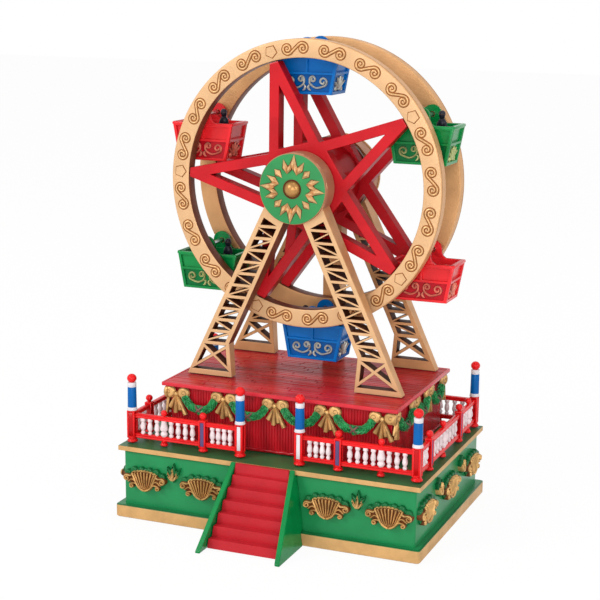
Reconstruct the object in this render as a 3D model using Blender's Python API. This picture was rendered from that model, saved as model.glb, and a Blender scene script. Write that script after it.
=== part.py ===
"""Ferris wheel music box: a wind-up movement in a stepped base turns a wheel with six hanging gondolas.

The frame is the base's own: X along the front, Y from the front to the back, Z up, and the origin at the
middle of the underside.  All sizes are in metres.
"""
import math

import bmesh
import bpy
from mathutils import Matrix, Vector

# Clearances
SEAT = 0.0003            # between two pieces that rest on each other
RUNNING = 0.0003         # between a shaft and its bore, all round

# Base box
PLINTH_WIDTH = 0.1300
PLINTH_DEPTH = 0.0898
PLINTH_HEIGHT = 0.0054
LEDGE = 0.0028           # the plinth stands this far proud of the wall
WALL = 0.0022
BASE_HEIGHT = 0.0277
TERRACE_WIDTH = 0.1283
TERRACE_DEPTH = 0.0870
TERRACE_THICK = 0.0019
COVER_THICK = 0.0020
CORNER_BLOCK = 0.0070
SCREW_HEAD_RADIUS = 0.0024
SCREW_HEAD_THICK = 0.0010
SCREW_SHANK_RADIUS = 0.0012
SCREW_LENGTH = 0.0080
ORNAMENT_RELIEF = 0.0030
ORNAMENT_SPREAD = 1.08   # how much wider an ornament is at the wall than at its face
SHELL_Z = 0.0165
BUD_Z = 0.0208
SHELL_EDGE = 0.0101      # from the end of a long wall to the middle of its last shell
SHELL_EDGE_SIDE = 0.0109
STAIR_SHELL_X = 0.0266   # the shell beside the stairs
SHELL_OUTLINE = ((0.0080, 0.0008), (0.0056, 0.0024), (0.0040, 0.0043), (0.0, 0.0047), (-0.0040, 0.0043),
                 (-0.0056, 0.0024), (-0.0080, 0.0008), (-0.0064, -0.0022), (-0.0030, -0.0026),
                 (0.0, -0.0048), (0.0030, -0.0026), (0.0064, -0.0022))
BUD_OUTLINE = ((0.0024, 0.0016), (0.0012, 0.0036), (-0.0012, 0.0036), (-0.0024, 0.0016), (-0.0026, -0.0012),
               (-0.0012, -0.0037), (0.0012, -0.0037), (0.0026, -0.0012))

# Stairs
RISERS = 7
TREAD = 0.00315
STAIR_TOP_WIDTH = 0.0224
STAIR_FOOT_WIDTH = 0.0306
STRINGER_THICK = 0.0020
TOP_RISER_THICK = 0.0012
STRINGER_REACH = 0.0248  # from the terrace's edge to the tip on the floor

# House under the wheel
ROOF_WIDTH = 0.1010
ROOF_FRONT_Y = -0.0314
ROOF_BACK_Y = 0.0378
ROOF_TOP_Z = 0.0552
ROOF_THICK = 0.0016
EAVES = 0.0030
HOUSE_WALL = 0.0018
FRONT_BOWS = 5
SIDE_BOWS = 4
BOW_EDGE = 0.0033        # from the house's corner to the middle of the last bow
SIDE_BOW_EDGE = 0.00115
BOW_HALF_WIDTH = 0.0048
BOW_DROP = 0.0108
SWAG_SAG = 0.0042
SWAG_THICK = 0.0034
GARLAND_THICK = 0.0022

# Fence round the terrace
FENCE_SIDE_EDGE = 0.00335        # from the terrace's edges to the middle of the fence
FENCE_FRONT_EDGE = 0.0061
FENCE_BACK_EDGE = 0.0033
STAIR_POST_X = 0.0127
NEWEL_X = 0.0289
NEWEL_SIDE_Y = (-0.0227, 0.0173)
NEWEL_BACK_X = (-0.0304, 0.0, 0.0304)
FRONT_BALUSTERS = (4, 8)         # between each two posts, from the stairs outwards
SIDE_BALUSTERS = (3, 8, 4)       # from the front to the back
BACK_BALUSTERS = (7, 7, 7, 7)
RAIL_THICK = 0.0016
TOP_RAIL_Z = 0.0126      # top of the top rail above the terrace
RAIL_HEIGHT = 0.0018
BOTTOM_RAIL_Z = 0.0024   # underside of the bottom rail above the terrace
BALUSTER_WIDTH = 0.0020
NEWEL_WIDTH = 0.0030
NEWEL_HEIGHT = 0.0129
NEWEL_BALL = 0.0015
POST_WIDTH = 0.0034
POST_SQUARE_HEIGHT = 0.0138
POST_RING_RADIUS = 0.00215
POST_TUBE_RADIUS = 0.0019
POST_RING_TOP = 0.0255
POST_BALL = 0.0017

# Wheel
AXLE_Z = 0.1350
WHEEL_RADIUS = 0.0576
RIM_WIDTH = 0.0074
RIM_DEPTH = 0.0058
FRONT_RIM_Y = -0.0063    # front face of the front rim
REAR_RIM_Y = 0.0191      # front face of the rear rim
RIM_SEGMENTS = 60
STAR_TURN = 104.9        # degrees from +X to the first point
STAR_APEX_INSET = 0.0011 # from the rim's outer edge to where the edges of one arm would meet
STAR_ARM_ANGLE = 15.0    # half the angle between those edges, in degrees
STAR_BAR = 0.0041
STAR_INSET = 0.0002      # the star's faces lie this far inside the rim's
HUB_RADIUS = 0.0151
AXLE_RADIUS = 0.0020
GONDOLAS = 6
GONDOLA_TURN = 92.0
ROD_RADIUS = 0.0009
ROD_INSET = 0.0035       # from the rim's outer edge to the middle of a rod

# Gondola, measured from the rod that it hangs on
TUB_TOP_LENGTH = 0.0272
TUB_FOOT_LENGTH = 0.0214
TUB_DEPTH = 0.0160
TUB_HEIGHT = 0.0154
TUB_DROP = 0.0032        # from the rod to the rim of the tub
TUB_WALL = 0.0011
LUG_RADIUS = 0.0038
RIDER_SHOULDER = 0.0018
RIDER_HEAD = 0.0012
RIDER_OFFSET = 0.0062
RIDER_TOP = 0.0024
EMPTY_SEATS = {5: (1,)}  # gondola number: sides without a rider

# A-frames
FRAME_FRONT_Y = -0.0152
REAR_FRAME_Y = 0.0295    # front face of the rear frame
FRAME_DEPTH_FOOT = 0.0041
FRAME_DEPTH_TOP = 0.0080
FOOT_OUTER_X = 0.0467
FOOT_INNER_X = 0.0267
KNEE_X = 0.0279
KNEE_Z = 0.0695
LEG_OUTER_TOP_X = 0.0133
LEG_INNER_TOP_X = 0.0022
LEG_TOP_DROP = 0.0095    # from the axle down to the end of the legs' straight edges
LEG_TOP_Z = AXLE_Z - LEG_TOP_DROP
LEG_BAR = 0.0018
LATTICE_RUNG = 0.0013
LATTICE_BAR = 0.0008
LATTICE_CELL = 0.00496
LATTICE_CELLS = 11
FOOT_STRIP = 0.0023
REAR_FOOT_STRIP = 0.0040
FOOT_BRACE = 0.0013
HUB_CAP_RADIUS = 0.0141
HUB_CAP_THICK = 0.0017
HUB_BALL_RADIUS = 0.0034
HOUSING_RADIUS = 0.0167
HOUSING_WALL = 0.0024
REAR_CAP_RADIUS = 0.0170
BUSH_WALL = 0.0018
COLUMN_WIDTH = 0.0080
COLUMN_DEPTH = 0.0066
COLUMN_WALL = 0.0010

# Drive shaft and its gears
SHAFT_Y = 0.0316
SHAFT_RADIUS = 0.0010
GEAR_PITCH = 0.00222     # along the pitch circle of every meshing pair
TOOTH_ADDENDUM = 0.0006
TOOTH_DEPTH = 0.0013
TOOTH_WIDTH = 0.0008
PINION_TEETH = 8
CROWN_TEETH = 32
CROWN_RING = 0.0034
CROWN_FLANGE_RADIUS = 0.0168
CROWN_THICK = 0.0013
CROWN_TOOTH_WIDTH = 0.0009

# Movement
MOVEMENT_RISE = 0.00175  # from half the base's height to the axis of the cylinder and of the barrel
CYLINDER_RADIUS = 0.0060
CYLINDER_LENGTH = 0.0190
CYLINDER_TEETH = 16
CYLINDER_RING = 0.0016
CYLINDER_END_X = 0.0315
BEDPLATE_THICK = 0.0012
BEDPLATE_LEFT_X = -0.0300
BEDPLATE_RIGHT_X = 0.0370
BEDPLATE_ROOM = 0.0012   # between the bedplate and the terrace's underside
BARREL_LENGTH = 0.0095
BARREL_TEETH = 28
BARREL_RING = 0.0022
BARREL_TOOTH_HEIGHT = 0.0008
WORM_WHEEL_RADIUS = 0.0048
WORM_RADIUS = 0.0010
COMB_TEETH = 9
COMB_THICK = 0.0008
COMB_LENGTH = 0.0140
COMB_WIDTH = 0.0172
FAN_RADIUS = 0.0040
FAN_ROOM = 0.00085       # between the fan's blades and the tab above them
KEY_SHAFT_RADIUS = 0.0015
KEY_WIDTH = 0.0130
KEY_LENGTH = 0.0070
KEY_THICK = 0.0016

# Values that follow
WALL_X = PLINTH_WIDTH / 2 - LEDGE
WALL_Y = PLINTH_DEPTH / 2 - LEDGE
TERRACE_Z = BASE_HEIGHT + SEAT + TERRACE_THICK
HOUSE_FRONT_Y = ROOF_FRONT_Y + EAVES
HOUSE_BACK_Y = ROOF_BACK_Y - EAVES
HOUSE_X = ROOF_WIDTH / 2 - EAVES
HOUSE_FOOT_Z = TERRACE_Z + SEAT
BOW_PITCH = 2 * (HOUSE_X - BOW_EDGE) / (FRONT_BOWS - 1)
SIDE_BOW_PITCH = (HOUSE_BACK_Y - HOUSE_FRONT_Y - 2 * SIDE_BOW_EDGE) / (SIDE_BOWS - 1)
FENCE_X = TERRACE_WIDTH / 2 - FENCE_SIDE_EDGE
FENCE_FRONT_Y = FENCE_FRONT_EDGE - TERRACE_DEPTH / 2
FENCE_BACK_Y = TERRACE_DEPTH / 2 - FENCE_BACK_EDGE
ROOF_UNDER_Z = ROOF_TOP_Z - ROOF_THICK
RISER = TERRACE_Z / RISERS
RIM_INNER = WHEEL_RADIUS - RIM_WIDTH
STAR_APEX = WHEEL_RADIUS - STAR_APEX_INSET
ROD_CIRCLE = WHEEL_RADIUS - ROD_INSET
MOVEMENT_Z = BASE_HEIGHT / 2 + MOVEMENT_RISE
BEDPLATE_TOP_Z = BASE_HEIGHT - BEDPLATE_ROOM
REAR_STAR_BACK_Y = REAR_RIM_Y + RIM_DEPTH - STAR_INSET
FRONT_RIM_BACK_Y = FRONT_RIM_Y + RIM_DEPTH
WHEEL_MIDDLE_Y = (FRONT_RIM_BACK_Y + REAR_RIM_Y) / 2
FOOT_Z = ROOF_TOP_Z + SEAT
BUSH_RADIUS = AXLE_RADIUS + RUNNING + BUSH_WALL


def pitch_radius(teeth):
    """The radius at which this many teeth keep the common pitch."""
    return teeth * GEAR_PITCH / math.tau


PINION_TIP = pitch_radius(PINION_TEETH) + TOOTH_ADDENDUM
CROWN_FACE_Y = SHAFT_Y - PINION_TIP - RUNNING
CROWN_MIDDLE = pitch_radius(CROWN_TEETH)
CYLINDER_MIDDLE = pitch_radius(CYLINDER_TEETH)
CYLINDER_TIP = CYLINDER_MIDDLE + TOOTH_ADDENDUM
CYLINDER_FACE_X = PINION_TIP + RUNNING
BARREL_MIDDLE = pitch_radius(BARREL_TEETH)
BARREL_RADIUS = BARREL_MIDDLE + BARREL_RING / 2
BARREL_FACE_Y = SHAFT_Y - CYLINDER_TIP - RUNNING
END_GEAR_X = -0.0050
BARREL_X = END_GEAR_X - BARREL_MIDDLE
REAR_FRAME_BACK_Y = REAR_FRAME_Y + FRAME_DEPTH_TOP
BEDPLATE_Y = WALL_Y - WALL - SEAT - BEDPLATE_THICK
GOVERNOR_X = CYLINDER_END_X - 0.0012
GOVERNOR_Y = SHAFT_Y - WORM_WHEEL_RADIUS - RUNNING - WORM_RADIUS


def circle(radius, count, centre=(0.0, 0.0), start=0.0):
    """Points round a circle, in a plane."""
    return [(centre[0] + radius * math.cos(start + math.tau * i / count),
             centre[1] + radius * math.sin(start + math.tau * i / count)) for i in range(count)]


def arc(radius, first, last, count, centre=(0.0, 0.0)):
    """Points along an arc, both ends included; angles in radians."""
    steps = [first + (last - first) * i / (count - 1) for i in range(count)]
    return [(centre[0] + radius * math.cos(a), centre[1] + radius * math.sin(a)) for a in steps]


def rectangle(left, right, low, high):
    return [(left, low), (right, low), (right, high), (left, high)]


def to_mesh(shape, name="shape"):
    """Turn a bmesh into a mesh whose faces point out."""
    bmesh.ops.recalc_face_normals(shape, faces=shape.faces)
    mesh = bpy.data.meshes.new(name)
    shape.to_mesh(mesh)
    shape.free()
    return mesh


def plate(outline, holes, low, high, plane="XZ"):
    """A flat plate: an outline with holes, between two levels of the axis that its plane leaves out."""
    axes = {"XY": (0, 1, 2), "XZ": (0, 2, 1), "YZ": (1, 2, 0)}[plane]
    shape = bmesh.new()
    edges = []
    for loop in [outline] + list(holes):
        ring = []
        for point in loop:
            place = [0.0, 0.0, 0.0]
            place[axes[0]], place[axes[1]], place[axes[2]] = point[0], point[1], low
            ring.append(shape.verts.new(place))
        edges += [shape.edges.new((ring[i - 1], ring[i])) for i in range(len(ring))]
    filled = bmesh.ops.triangle_fill(shape, edges=edges, use_beauty=True)
    faces = [item for item in filled["geom"] if isinstance(item, bmesh.types.BMFace)]
    raised = bmesh.ops.extrude_face_region(shape, geom=faces)
    moved = [item for item in raised["geom"] if isinstance(item, bmesh.types.BMVert)]
    lift = [0.0, 0.0, 0.0]
    lift[axes[2]] = high - low
    bmesh.ops.translate(shape, verts=moved, vec=lift)
    return to_mesh(shape)


def box(x, y, z):
    """A box between three pairs of values."""
    return plate(rectangle(x[0], x[1], y[0], y[1]), [], z[0], z[1], "XY")


def turned(profile, count, axis="Z", centre=(0.0, 0.0, 0.0), closed=False, start=0.0):
    """A turned solid: (radius, height) pairs spun round an axis; a closed profile makes a ring."""
    shape = bmesh.new()
    spin = {"Z": Matrix.Identity(3), "Y": Matrix.Rotation(-math.pi / 2, 3, "X"),
            "X": Matrix.Rotation(math.pi / 2, 3, "Y")}[axis]
    rings = []
    for radius, height in profile:
        if radius == 0:
            rings.append([shape.verts.new(spin @ Vector((0, 0, height)) + Vector(centre))])
            continue
        points = circle(radius, count, start=start)
        rings.append([shape.verts.new(spin @ Vector((u, v, height)) + Vector(centre)) for u, v in points])
    pairs = list(zip(rings, rings[1:] + rings[:1])) if closed else list(zip(rings, rings[1:]))
    for low, high in pairs:
        for i in range(count):
            corners = [low[i % len(low)], low[(i + 1) % len(low)],
                       high[(i + 1) % len(high)], high[i % len(high)]]
            unique = [c for n, c in enumerate(corners) if c not in corners[:n]]
            if len(unique) > 2:
                shape.faces.new(unique)
    if not closed:
        for ring in (rings[0], rings[-1]):
            if len(ring) > 1:
                shape.faces.new(ring)
    return to_mesh(shape)


def square_ring(half, height):
    """Eight points round a square, so that it joins a ring of eight."""
    points = [(1, 0), (1, 1), (0, 1), (-1, 1), (-1, 0), (-1, -1), (0, -1), (1, -1)]
    return [(half * u, half * v, height) for u, v in points]


def round_ring(radius, height):
    return [(u, v, height) for u, v in circle(radius, 8)]


def stacked(rings):
    """A post built from rings of eight points, closed at both ends."""
    shape = bmesh.new()
    levels = [[shape.verts.new(point) for point in ring] for ring in rings]
    for low, high in zip(levels, levels[1:]):
        for i in range(8):
            j = (i + 1) % 8
            shape.faces.new((low[i], low[j], high[j], high[i]))
    shape.faces.new(levels[0])
    shape.faces.new(levels[-1])
    return to_mesh(shape)


def moved_by(mesh, offset=(0.0, 0.0, 0.0), turn=None):
    """A copy of a mesh, turned and then moved."""
    copy = mesh.copy()
    copy.transform(Matrix.Translation(offset) @ (turn or Matrix.Identity(4)))
    return copy


def combine(first, others, operation="UNION"):
    """Join meshes into one solid, or cut the others out of the first."""
    work = bpy.data.objects.new("work", first)
    bpy.context.scene.collection.objects.link(work)
    tools = []
    for mesh in others:
        tool = bpy.data.objects.new("tool", mesh)
        bpy.context.scene.collection.objects.link(tool)
        tools.append(tool)
        step = work.modifiers.new("step", "BOOLEAN")
        step.operation = operation
        step.solver = "EXACT"
        step.object = tool
    result = bpy.data.meshes.new_from_object(work.evaluated_get(bpy.context.evaluated_depsgraph_get()))
    for item in [work] + tools:
        bpy.data.objects.remove(item)
    return result


def cut(first, others):
    return combine(first, others, "DIFFERENCE")


FINISHES = {
    "green_wall": ((0.045, 0.300, 0.115), 0.30, 0.0),
    "green_terrace": ((0.035, 0.105, 0.050), 0.40, 0.0),
    "green_leaf": ((0.008, 0.260, 0.070), 0.25, 0.0),
    "gold": ((0.700, 0.430, 0.170), 0.38, 0.35),
    "satin_gold": ((0.880, 0.620, 0.310), 0.42, 0.25),
    "red_gloss": ((0.560, 0.018, 0.020), 0.22, 0.0),
    "red_star": ((0.560, 0.020, 0.030), 0.30, 0.0),
    "red_boards": ((0.420, 0.035, 0.040), 0.50, 0.0),
    "blue_gloss": ((0.001, 0.110, 0.420), 0.22, 0.0),
    "steel": ((0.560, 0.560, 0.580), 0.25, 1.0),
    "brass": ((0.780, 0.570, 0.240), 0.30, 1.0),
    "black_plastic": ((0.020, 0.020, 0.022), 0.45, 0.0),
    "brown_plastic": ((0.070, 0.022, 0.010), 0.45, 0.0),
}


def finish(node, name):
    """Give a node its own painted, plated or bare material."""
    colour, roughness, metallic = FINISHES[name]
    material = bpy.data.materials.new(node.name + "_" + name)
    material.use_nodes = True
    shader = material.node_tree.nodes["Principled BSDF"]
    shader.inputs["Base Color"].default_value = (*colour, 1.0)
    shader.inputs["Roughness"].default_value = roughness
    shader.inputs["Metallic"].default_value = metallic
    node.data.materials.clear()
    node.data.materials.append(material)


def add(name, mesh, material, origin=(0.0, 0.0, 0.0), parent=None, smooth=False):
    """Make a node from a mesh in world coordinates, with its own origin."""
    mesh.transform(Matrix.Translation([-c for c in origin]))
    mesh.name = name
    node = bpy.data.objects.new(name, mesh)
    bpy.context.scene.collection.objects.link(node)
    if smooth:
        mesh.shade_smooth()
        mesh.set_sharp_from_angle(angle=math.radians(35))
    finish(node, material)
    node.location = origin
    if parent:
        node.parent = parent
        node.location = Vector(origin) - parent.matrix_world.translation
    return node


def empty(name, place, parent=None):
    """An empty on a joint's axis, which carries the pieces that turn there."""
    node = bpy.data.objects.new(name, None)
    bpy.context.scene.collection.objects.link(node)
    node.location = place
    if parent:
        node.parent = parent
        node.location = Vector(place) - parent.matrix_world.translation
    bpy.context.view_layer.update()
    return node


def cover_screw_places():
    """The four screws lie under the corner blocks."""
    x = WALL_X - WALL - CORNER_BLOCK / 2
    y = WALL_Y - WALL - CORNER_BLOCK / 2
    return [(-x, -y), (x, -y), (x, y), (-x, y)]


def ornament_places():
    """Middle, outline and outward direction of each raised ornament on the walls."""
    end_x, end_y = WALL_X - SHELL_EDGE, WALL_Y - SHELL_EDGE_SIDE
    bud_x = (end_x + STAIR_SHELL_X) / 2
    front = [(x, SHELL_OUTLINE, SHELL_Z) for x in (-end_x, -STAIR_SHELL_X, STAIR_SHELL_X, end_x)]
    front += [(x, BUD_OUTLINE, BUD_Z) for x in (-bud_x, bud_x)]
    side = [(y, SHELL_OUTLINE, SHELL_Z) for y in (-end_y, 0.0, end_y)]
    side += [(y, BUD_OUTLINE, BUD_Z) for y in (-end_y / 2, end_y / 2)]
    places = []
    for along, outline, height in front:
        places.append(((along, -WALL_Y, height), outline, (0, -1)))
        if abs(along - BARREL_X) > KEY_WIDTH:
            places.append(((along, WALL_Y, height), outline, (0, 1)))
    for along, outline, height in side:
        places.append(((WALL_X, along, height), outline, (1, 0)))
        places.append(((-WALL_X, along, height), outline, (-1, 0)))
    return places


def ornament_boss(place, outline, outward):
    """The raised block of one ornament, a little wider at the wall than at its face."""
    shape = bmesh.new()
    depth = Vector((outward[0], outward[1], 0))
    across = Vector((outward[1], outward[0], 0))
    rings = []
    for share, out in ((ORNAMENT_SPREAD, -WALL / 2), (1.0, ORNAMENT_RELIEF)):
        rings.append([shape.verts.new(Vector(place) + across * (share * u) + depth * out
                                      + Vector((0, 0, share * v))) for u, v in outline])
    for i in range(len(outline)):
        j = (i + 1) % len(outline)
        shape.faces.new((rings[0][i], rings[0][j], rings[1][j], rings[1][i]))
    shape.faces.new(rings[0])
    shape.faces.new(rings[1])
    return to_mesh(shape)


def make_base():
    """The hollow base box, its terrace, its bottom cover and the four screws."""
    plinth = box((-PLINTH_WIDTH / 2, PLINTH_WIDTH / 2), (-PLINTH_DEPTH / 2, PLINTH_DEPTH / 2),
                 (0, PLINTH_HEIGHT))
    wall = box((-WALL_X, WALL_X), (-WALL_Y, WALL_Y), (PLINTH_HEIGHT / 2, BASE_HEIGHT))
    bosses = [ornament_boss(*spot) for spot in ornament_places()]
    cavity = box((WALL - WALL_X, WALL_X - WALL), (WALL - WALL_Y, WALL_Y - WALL),
                 (-PLINTH_HEIGHT, 2 * BASE_HEIGHT))
    key_hole = turned([(KEY_SHAFT_RADIUS + RUNNING, 0), (KEY_SHAFT_RADIUS + RUNNING, WALL * 4)], 16, "Y",
                      (BARREL_X, WALL_Y - 2 * WALL, MOVEMENT_Z))
    shell = cut(combine(plinth, [wall] + bosses), [cavity, key_hole])
    blocks = []
    holes = []
    for x, y in cover_screw_places():
        reach = CORNER_BLOCK / 2
        outer_x, outer_y = math.copysign(WALL / 2, x), math.copysign(WALL / 2, y)
        blocks.append(box(sorted((x - math.copysign(reach, x), x + math.copysign(reach, x) + outer_x)),
                          sorted((y - math.copysign(reach, y), y + math.copysign(reach, y) + outer_y)),
                          (COVER_THICK + SEAT, BASE_HEIGHT - WALL)))
        radius = SCREW_SHANK_RADIUS + RUNNING
        holes.append(turned([(radius, 0), (radius, SCREW_LENGTH + SEAT)], 12, "Z", (x, y, 0)))
    add("base_shell", cut(combine(shell, blocks), holes), "green_wall")

    inner_x, inner_y = WALL_X - WALL - SEAT, WALL_Y - WALL - SEAT
    cover = box((-inner_x, inner_x), (-inner_y, inner_y), (0, COVER_THICK))
    sinks = []
    for x, y in cover_screw_places():
        sinks.append(turned([(SCREW_HEAD_RADIUS + RUNNING, -COVER_THICK),
                             (SCREW_HEAD_RADIUS + RUNNING, SCREW_HEAD_THICK + SEAT),
                             (SCREW_SHANK_RADIUS + RUNNING, SCREW_HEAD_THICK + SEAT),
                             (SCREW_SHANK_RADIUS + RUNNING, 2 * COVER_THICK)], 12, "Z", (x, y, 0)))
    add("bottom_cover", cut(cover, sinks), "black_plastic")

    for number, (x, y) in enumerate(cover_screw_places(), 1):
        screw = turned([(SCREW_HEAD_RADIUS, 0), (SCREW_HEAD_RADIUS, SCREW_HEAD_THICK),
                        (SCREW_SHANK_RADIUS, SCREW_HEAD_THICK), (SCREW_SHANK_RADIUS, SCREW_LENGTH)], 12)
        add(f"cover_screw_{number}", moved_by(screw, (x, y, SEAT)), "steel", (x, y, 0), smooth=True)

    opening = rectangle(BEDPLATE_LEFT_X, -BEDPLATE_LEFT_X, HOUSE_FRONT_Y + 2 * HOUSE_WALL,
                        SHAFT_Y - 5 * SHAFT_RADIUS)
    shaft_hole = circle(SHAFT_RADIUS + RUNNING, 12, (0.0, SHAFT_Y))
    outline = rectangle(-TERRACE_WIDTH / 2, TERRACE_WIDTH / 2, -TERRACE_DEPTH / 2, TERRACE_DEPTH / 2)
    terrace = plate(outline, [opening, shaft_hole], BASE_HEIGHT + SEAT, TERRACE_Z, "XY")
    add("terrace_slab", terrace, "green_terrace")


def widen_to_foot(mesh, inner=0.0):
    """Spread a stair piece from the width at the terrace to the width at the floor."""
    for vertex in mesh.vertices:
        share = min(max(vertex.co.z / TERRACE_Z, 0.0), 1.0)
        half = (STAIR_FOOT_WIDTH + (STAIR_TOP_WIDTH - STAIR_FOOT_WIDTH) * share) / 2
        side = math.copysign(1.0, vertex.co.x)
        vertex.co.x = side * (half + inner + (abs(vertex.co.x) - 1.0))
    return mesh


def make_stairs():
    """A flight of red steps between two green stringers."""
    edge = -TERRACE_DEPTH / 2
    back = -WALL_Y - SEAT
    toe = -PLINTH_DEPTH / 2 - SEAT
    top = edge - SEAT
    profile = [(toe, SEAT), (toe, PLINTH_HEIGHT + SEAT), (back, PLINTH_HEIGHT + SEAT), (back, BASE_HEIGHT),
               (top, BASE_HEIGHT), (top, TERRACE_Z), (top - TOP_RISER_THICK, TERRACE_Z),
               (top - TOP_RISER_THICK, (RISERS - 1) * RISER)]
    for number in range(RISERS - 1, 0, -1):
        front = edge - (RISERS - number) * TREAD
        profile += [(front, number * RISER), (front, (number - 1) * RISER if number > 1 else SEAT)]
    steps = plate(profile, [], -1.0, 1.0, "YZ")
    add("stair_steps", widen_to_foot(steps), "red_gloss")
    wedge = [(toe, 0), (toe, PLINTH_HEIGHT + SEAT), (back, PLINTH_HEIGHT + SEAT), (back, BASE_HEIGHT),
             (edge - SEAT, BASE_HEIGHT), (edge - SEAT, TERRACE_Z), (edge - 2 * SEAT, TERRACE_Z),
             (edge - STRINGER_REACH, 0.0008), (edge - STRINGER_REACH, 0)]
    for name, side in (("left_stringer", -1), ("right_stringer", 1)):
        span = sorted((side * 1.0, side * (1.0 + STRINGER_THICK)))
        add(name, widen_to_foot(plate(wedge, [], span[0], span[1], "YZ"), SEAT), "green_leaf")


def bow_outline(middle, top):
    """The lower and upper halves of a bow's outline, from left to right."""
    w, d = BOW_HALF_WIDTH, BOW_DROP
    upper = [(middle - w, top - 0.20 * d), (middle - 0.70 * w, top), (middle - 0.18 * w, top - 0.18 * d),
             (middle + 0.18 * w, top - 0.18 * d), (middle + 0.70 * w, top), (middle + w, top - 0.20 * d)]
    lower = [(middle - 0.80 * w, top - 0.48 * d), (middle - 0.30 * w, top - 0.50 * d),
             (middle - 0.62 * w, top - 0.92 * d), (middle - 0.05 * w, top - 0.90 * d),
             (middle + 0.62 * w, top - d), (middle + 0.30 * w, top - 0.48 * d),
             (middle + 0.80 * w, top - 0.46 * d)]
    return upper, lower


def garland(bows, pitch, low, high, plane):
    """A string of bows with a hanging swag between each two, cut from one thickness."""
    top = ROOF_UNDER_Z - SEAT
    start = top - 0.24 * BOW_DROP
    upper, lower = [], []
    for number in range(bows):
        middle = (number - (bows - 1) / 2) * pitch
        above, below = bow_outline(middle, top)
        upper += above
        lower += below
        if number == bows - 1:
            continue
        for share in (0.2, 0.4, 0.6, 0.8):
            gap = pitch - 2 * BOW_HALF_WIDTH
            along = middle + BOW_HALF_WIDTH + share * gap
            sag = SWAG_SAG * math.sin(math.pi * share)
            upper.append((along, start - sag))
            lower.append((along, start - sag - SWAG_THICK * (0.7 + 0.3 * math.sin(math.pi * share))))
    return plate(upper + lower[::-1], [], low, high, plane)


def make_house():
    """The house that the wheel stands on: a shell with an open top, a roof deck, and garlands."""
    shell = plate(rectangle(-HOUSE_X, HOUSE_X, HOUSE_FRONT_Y, HOUSE_BACK_Y),
                  [rectangle(HOUSE_WALL - HOUSE_X, HOUSE_X - HOUSE_WALL, HOUSE_FRONT_Y + HOUSE_WALL,
                             HOUSE_BACK_Y - HOUSE_WALL)],
                  HOUSE_FOOT_Z, ROOF_UNDER_Z - SEAT, "XY")
    add("house_shell", shell, "red_boards")
    hole = circle(SHAFT_RADIUS + RUNNING, 12, (0.0, SHAFT_Y))
    deck = plate(rectangle(-ROOF_WIDTH / 2, ROOF_WIDTH / 2, ROOF_FRONT_Y, ROOF_BACK_Y), [hole],
                 ROOF_UNDER_Z, ROOF_TOP_Z, "XY")
    add("roof_deck", deck, "red_boards")
    make_garlands()


def make_garlands():
    """Garlands under the eaves; on the sides the end bows stop at the house's corners."""
    near, far = HOUSE_X + SEAT, HOUSE_X + SEAT + GARLAND_THICK
    depth = GARLAND_THICK + SEAT
    front = garland(FRONT_BOWS, BOW_PITCH, HOUSE_FRONT_Y - depth, HOUSE_FRONT_Y - SEAT, "XZ")
    back = garland(FRONT_BOWS, BOW_PITCH, HOUSE_BACK_Y + SEAT, HOUSE_BACK_Y + depth, "XZ")
    add("garland_front", front, "gold")
    add("garland_back", back, "gold")
    middle_y = (HOUSE_FRONT_Y + HOUSE_BACK_Y) / 2
    heights = (0, ROOF_TOP_Z)
    for name, span in (("garland_left", (-far, -near)), ("garland_right", (near, far))):
        whole = moved_by(garland(SIDE_BOWS, SIDE_BOW_PITCH, span[0], span[1], "YZ"), (0, middle_y, 0))
        wide = (span[0] - SEAT, span[1] + SEAT)
        ends = [box(wide, (2 * HOUSE_FRONT_Y, HOUSE_FRONT_Y), heights),
                box(wide, (HOUSE_BACK_Y, 2 * HOUSE_BACK_Y), heights)]
        add(name, cut(whole, ends), "gold")


def newel():
    """A square newel with a foot ring and a ball, standing on the terrace."""
    half, ball = NEWEL_WIDTH / 2, NEWEL_BALL
    neck = NEWEL_HEIGHT + 0.0005
    return stacked([round_ring(half * 1.35, SEAT), round_ring(half * 1.35, 0.0011), square_ring(half, 0.0013),
                    square_ring(half, NEWEL_HEIGHT), round_ring(half * 0.6, neck),
                    round_ring(ball, neck + ball), round_ring(ball * 0.45, neck + 1.9 * ball)])


def middle_support():
    """The fat baluster at the middle of a panel has a ball over the rail and a foot under it."""
    foot = stacked([round_ring(0.0017, SEAT), round_ring(0.0013, BOTTOM_RAIL_Z + RAIL_HEIGHT / 2)])
    ball = stacked([round_ring(0.0006, TOP_RAIL_Z - RAIL_HEIGHT / 2), round_ring(0.0012, TOP_RAIL_Z + 0.0012),
                    round_ring(0.0004, TOP_RAIL_Z + 0.0025)])
    return foot, ball


def baluster_gaps(start, end, count, fat=None):
    """The openings between the balusters of one panel, from one post to the next."""
    pitch = (end - start) / (count + 1)
    low, high = BOTTOM_RAIL_Z + RAIL_HEIGHT, TOP_RAIL_Z - RAIL_HEIGHT
    widths = [0.0] + [BALUSTER_WIDTH / 2 * (1.4 if i == fat else 1.0) for i in range(count)] + [0.0]
    gaps = [rectangle(start + i * pitch + widths[i], start + (i + 1) * pitch - widths[i + 1], low, high)
            for i in range(count + 1)]
    return gaps, [start + (i + 1) * pitch for i in range(count)]


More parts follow.
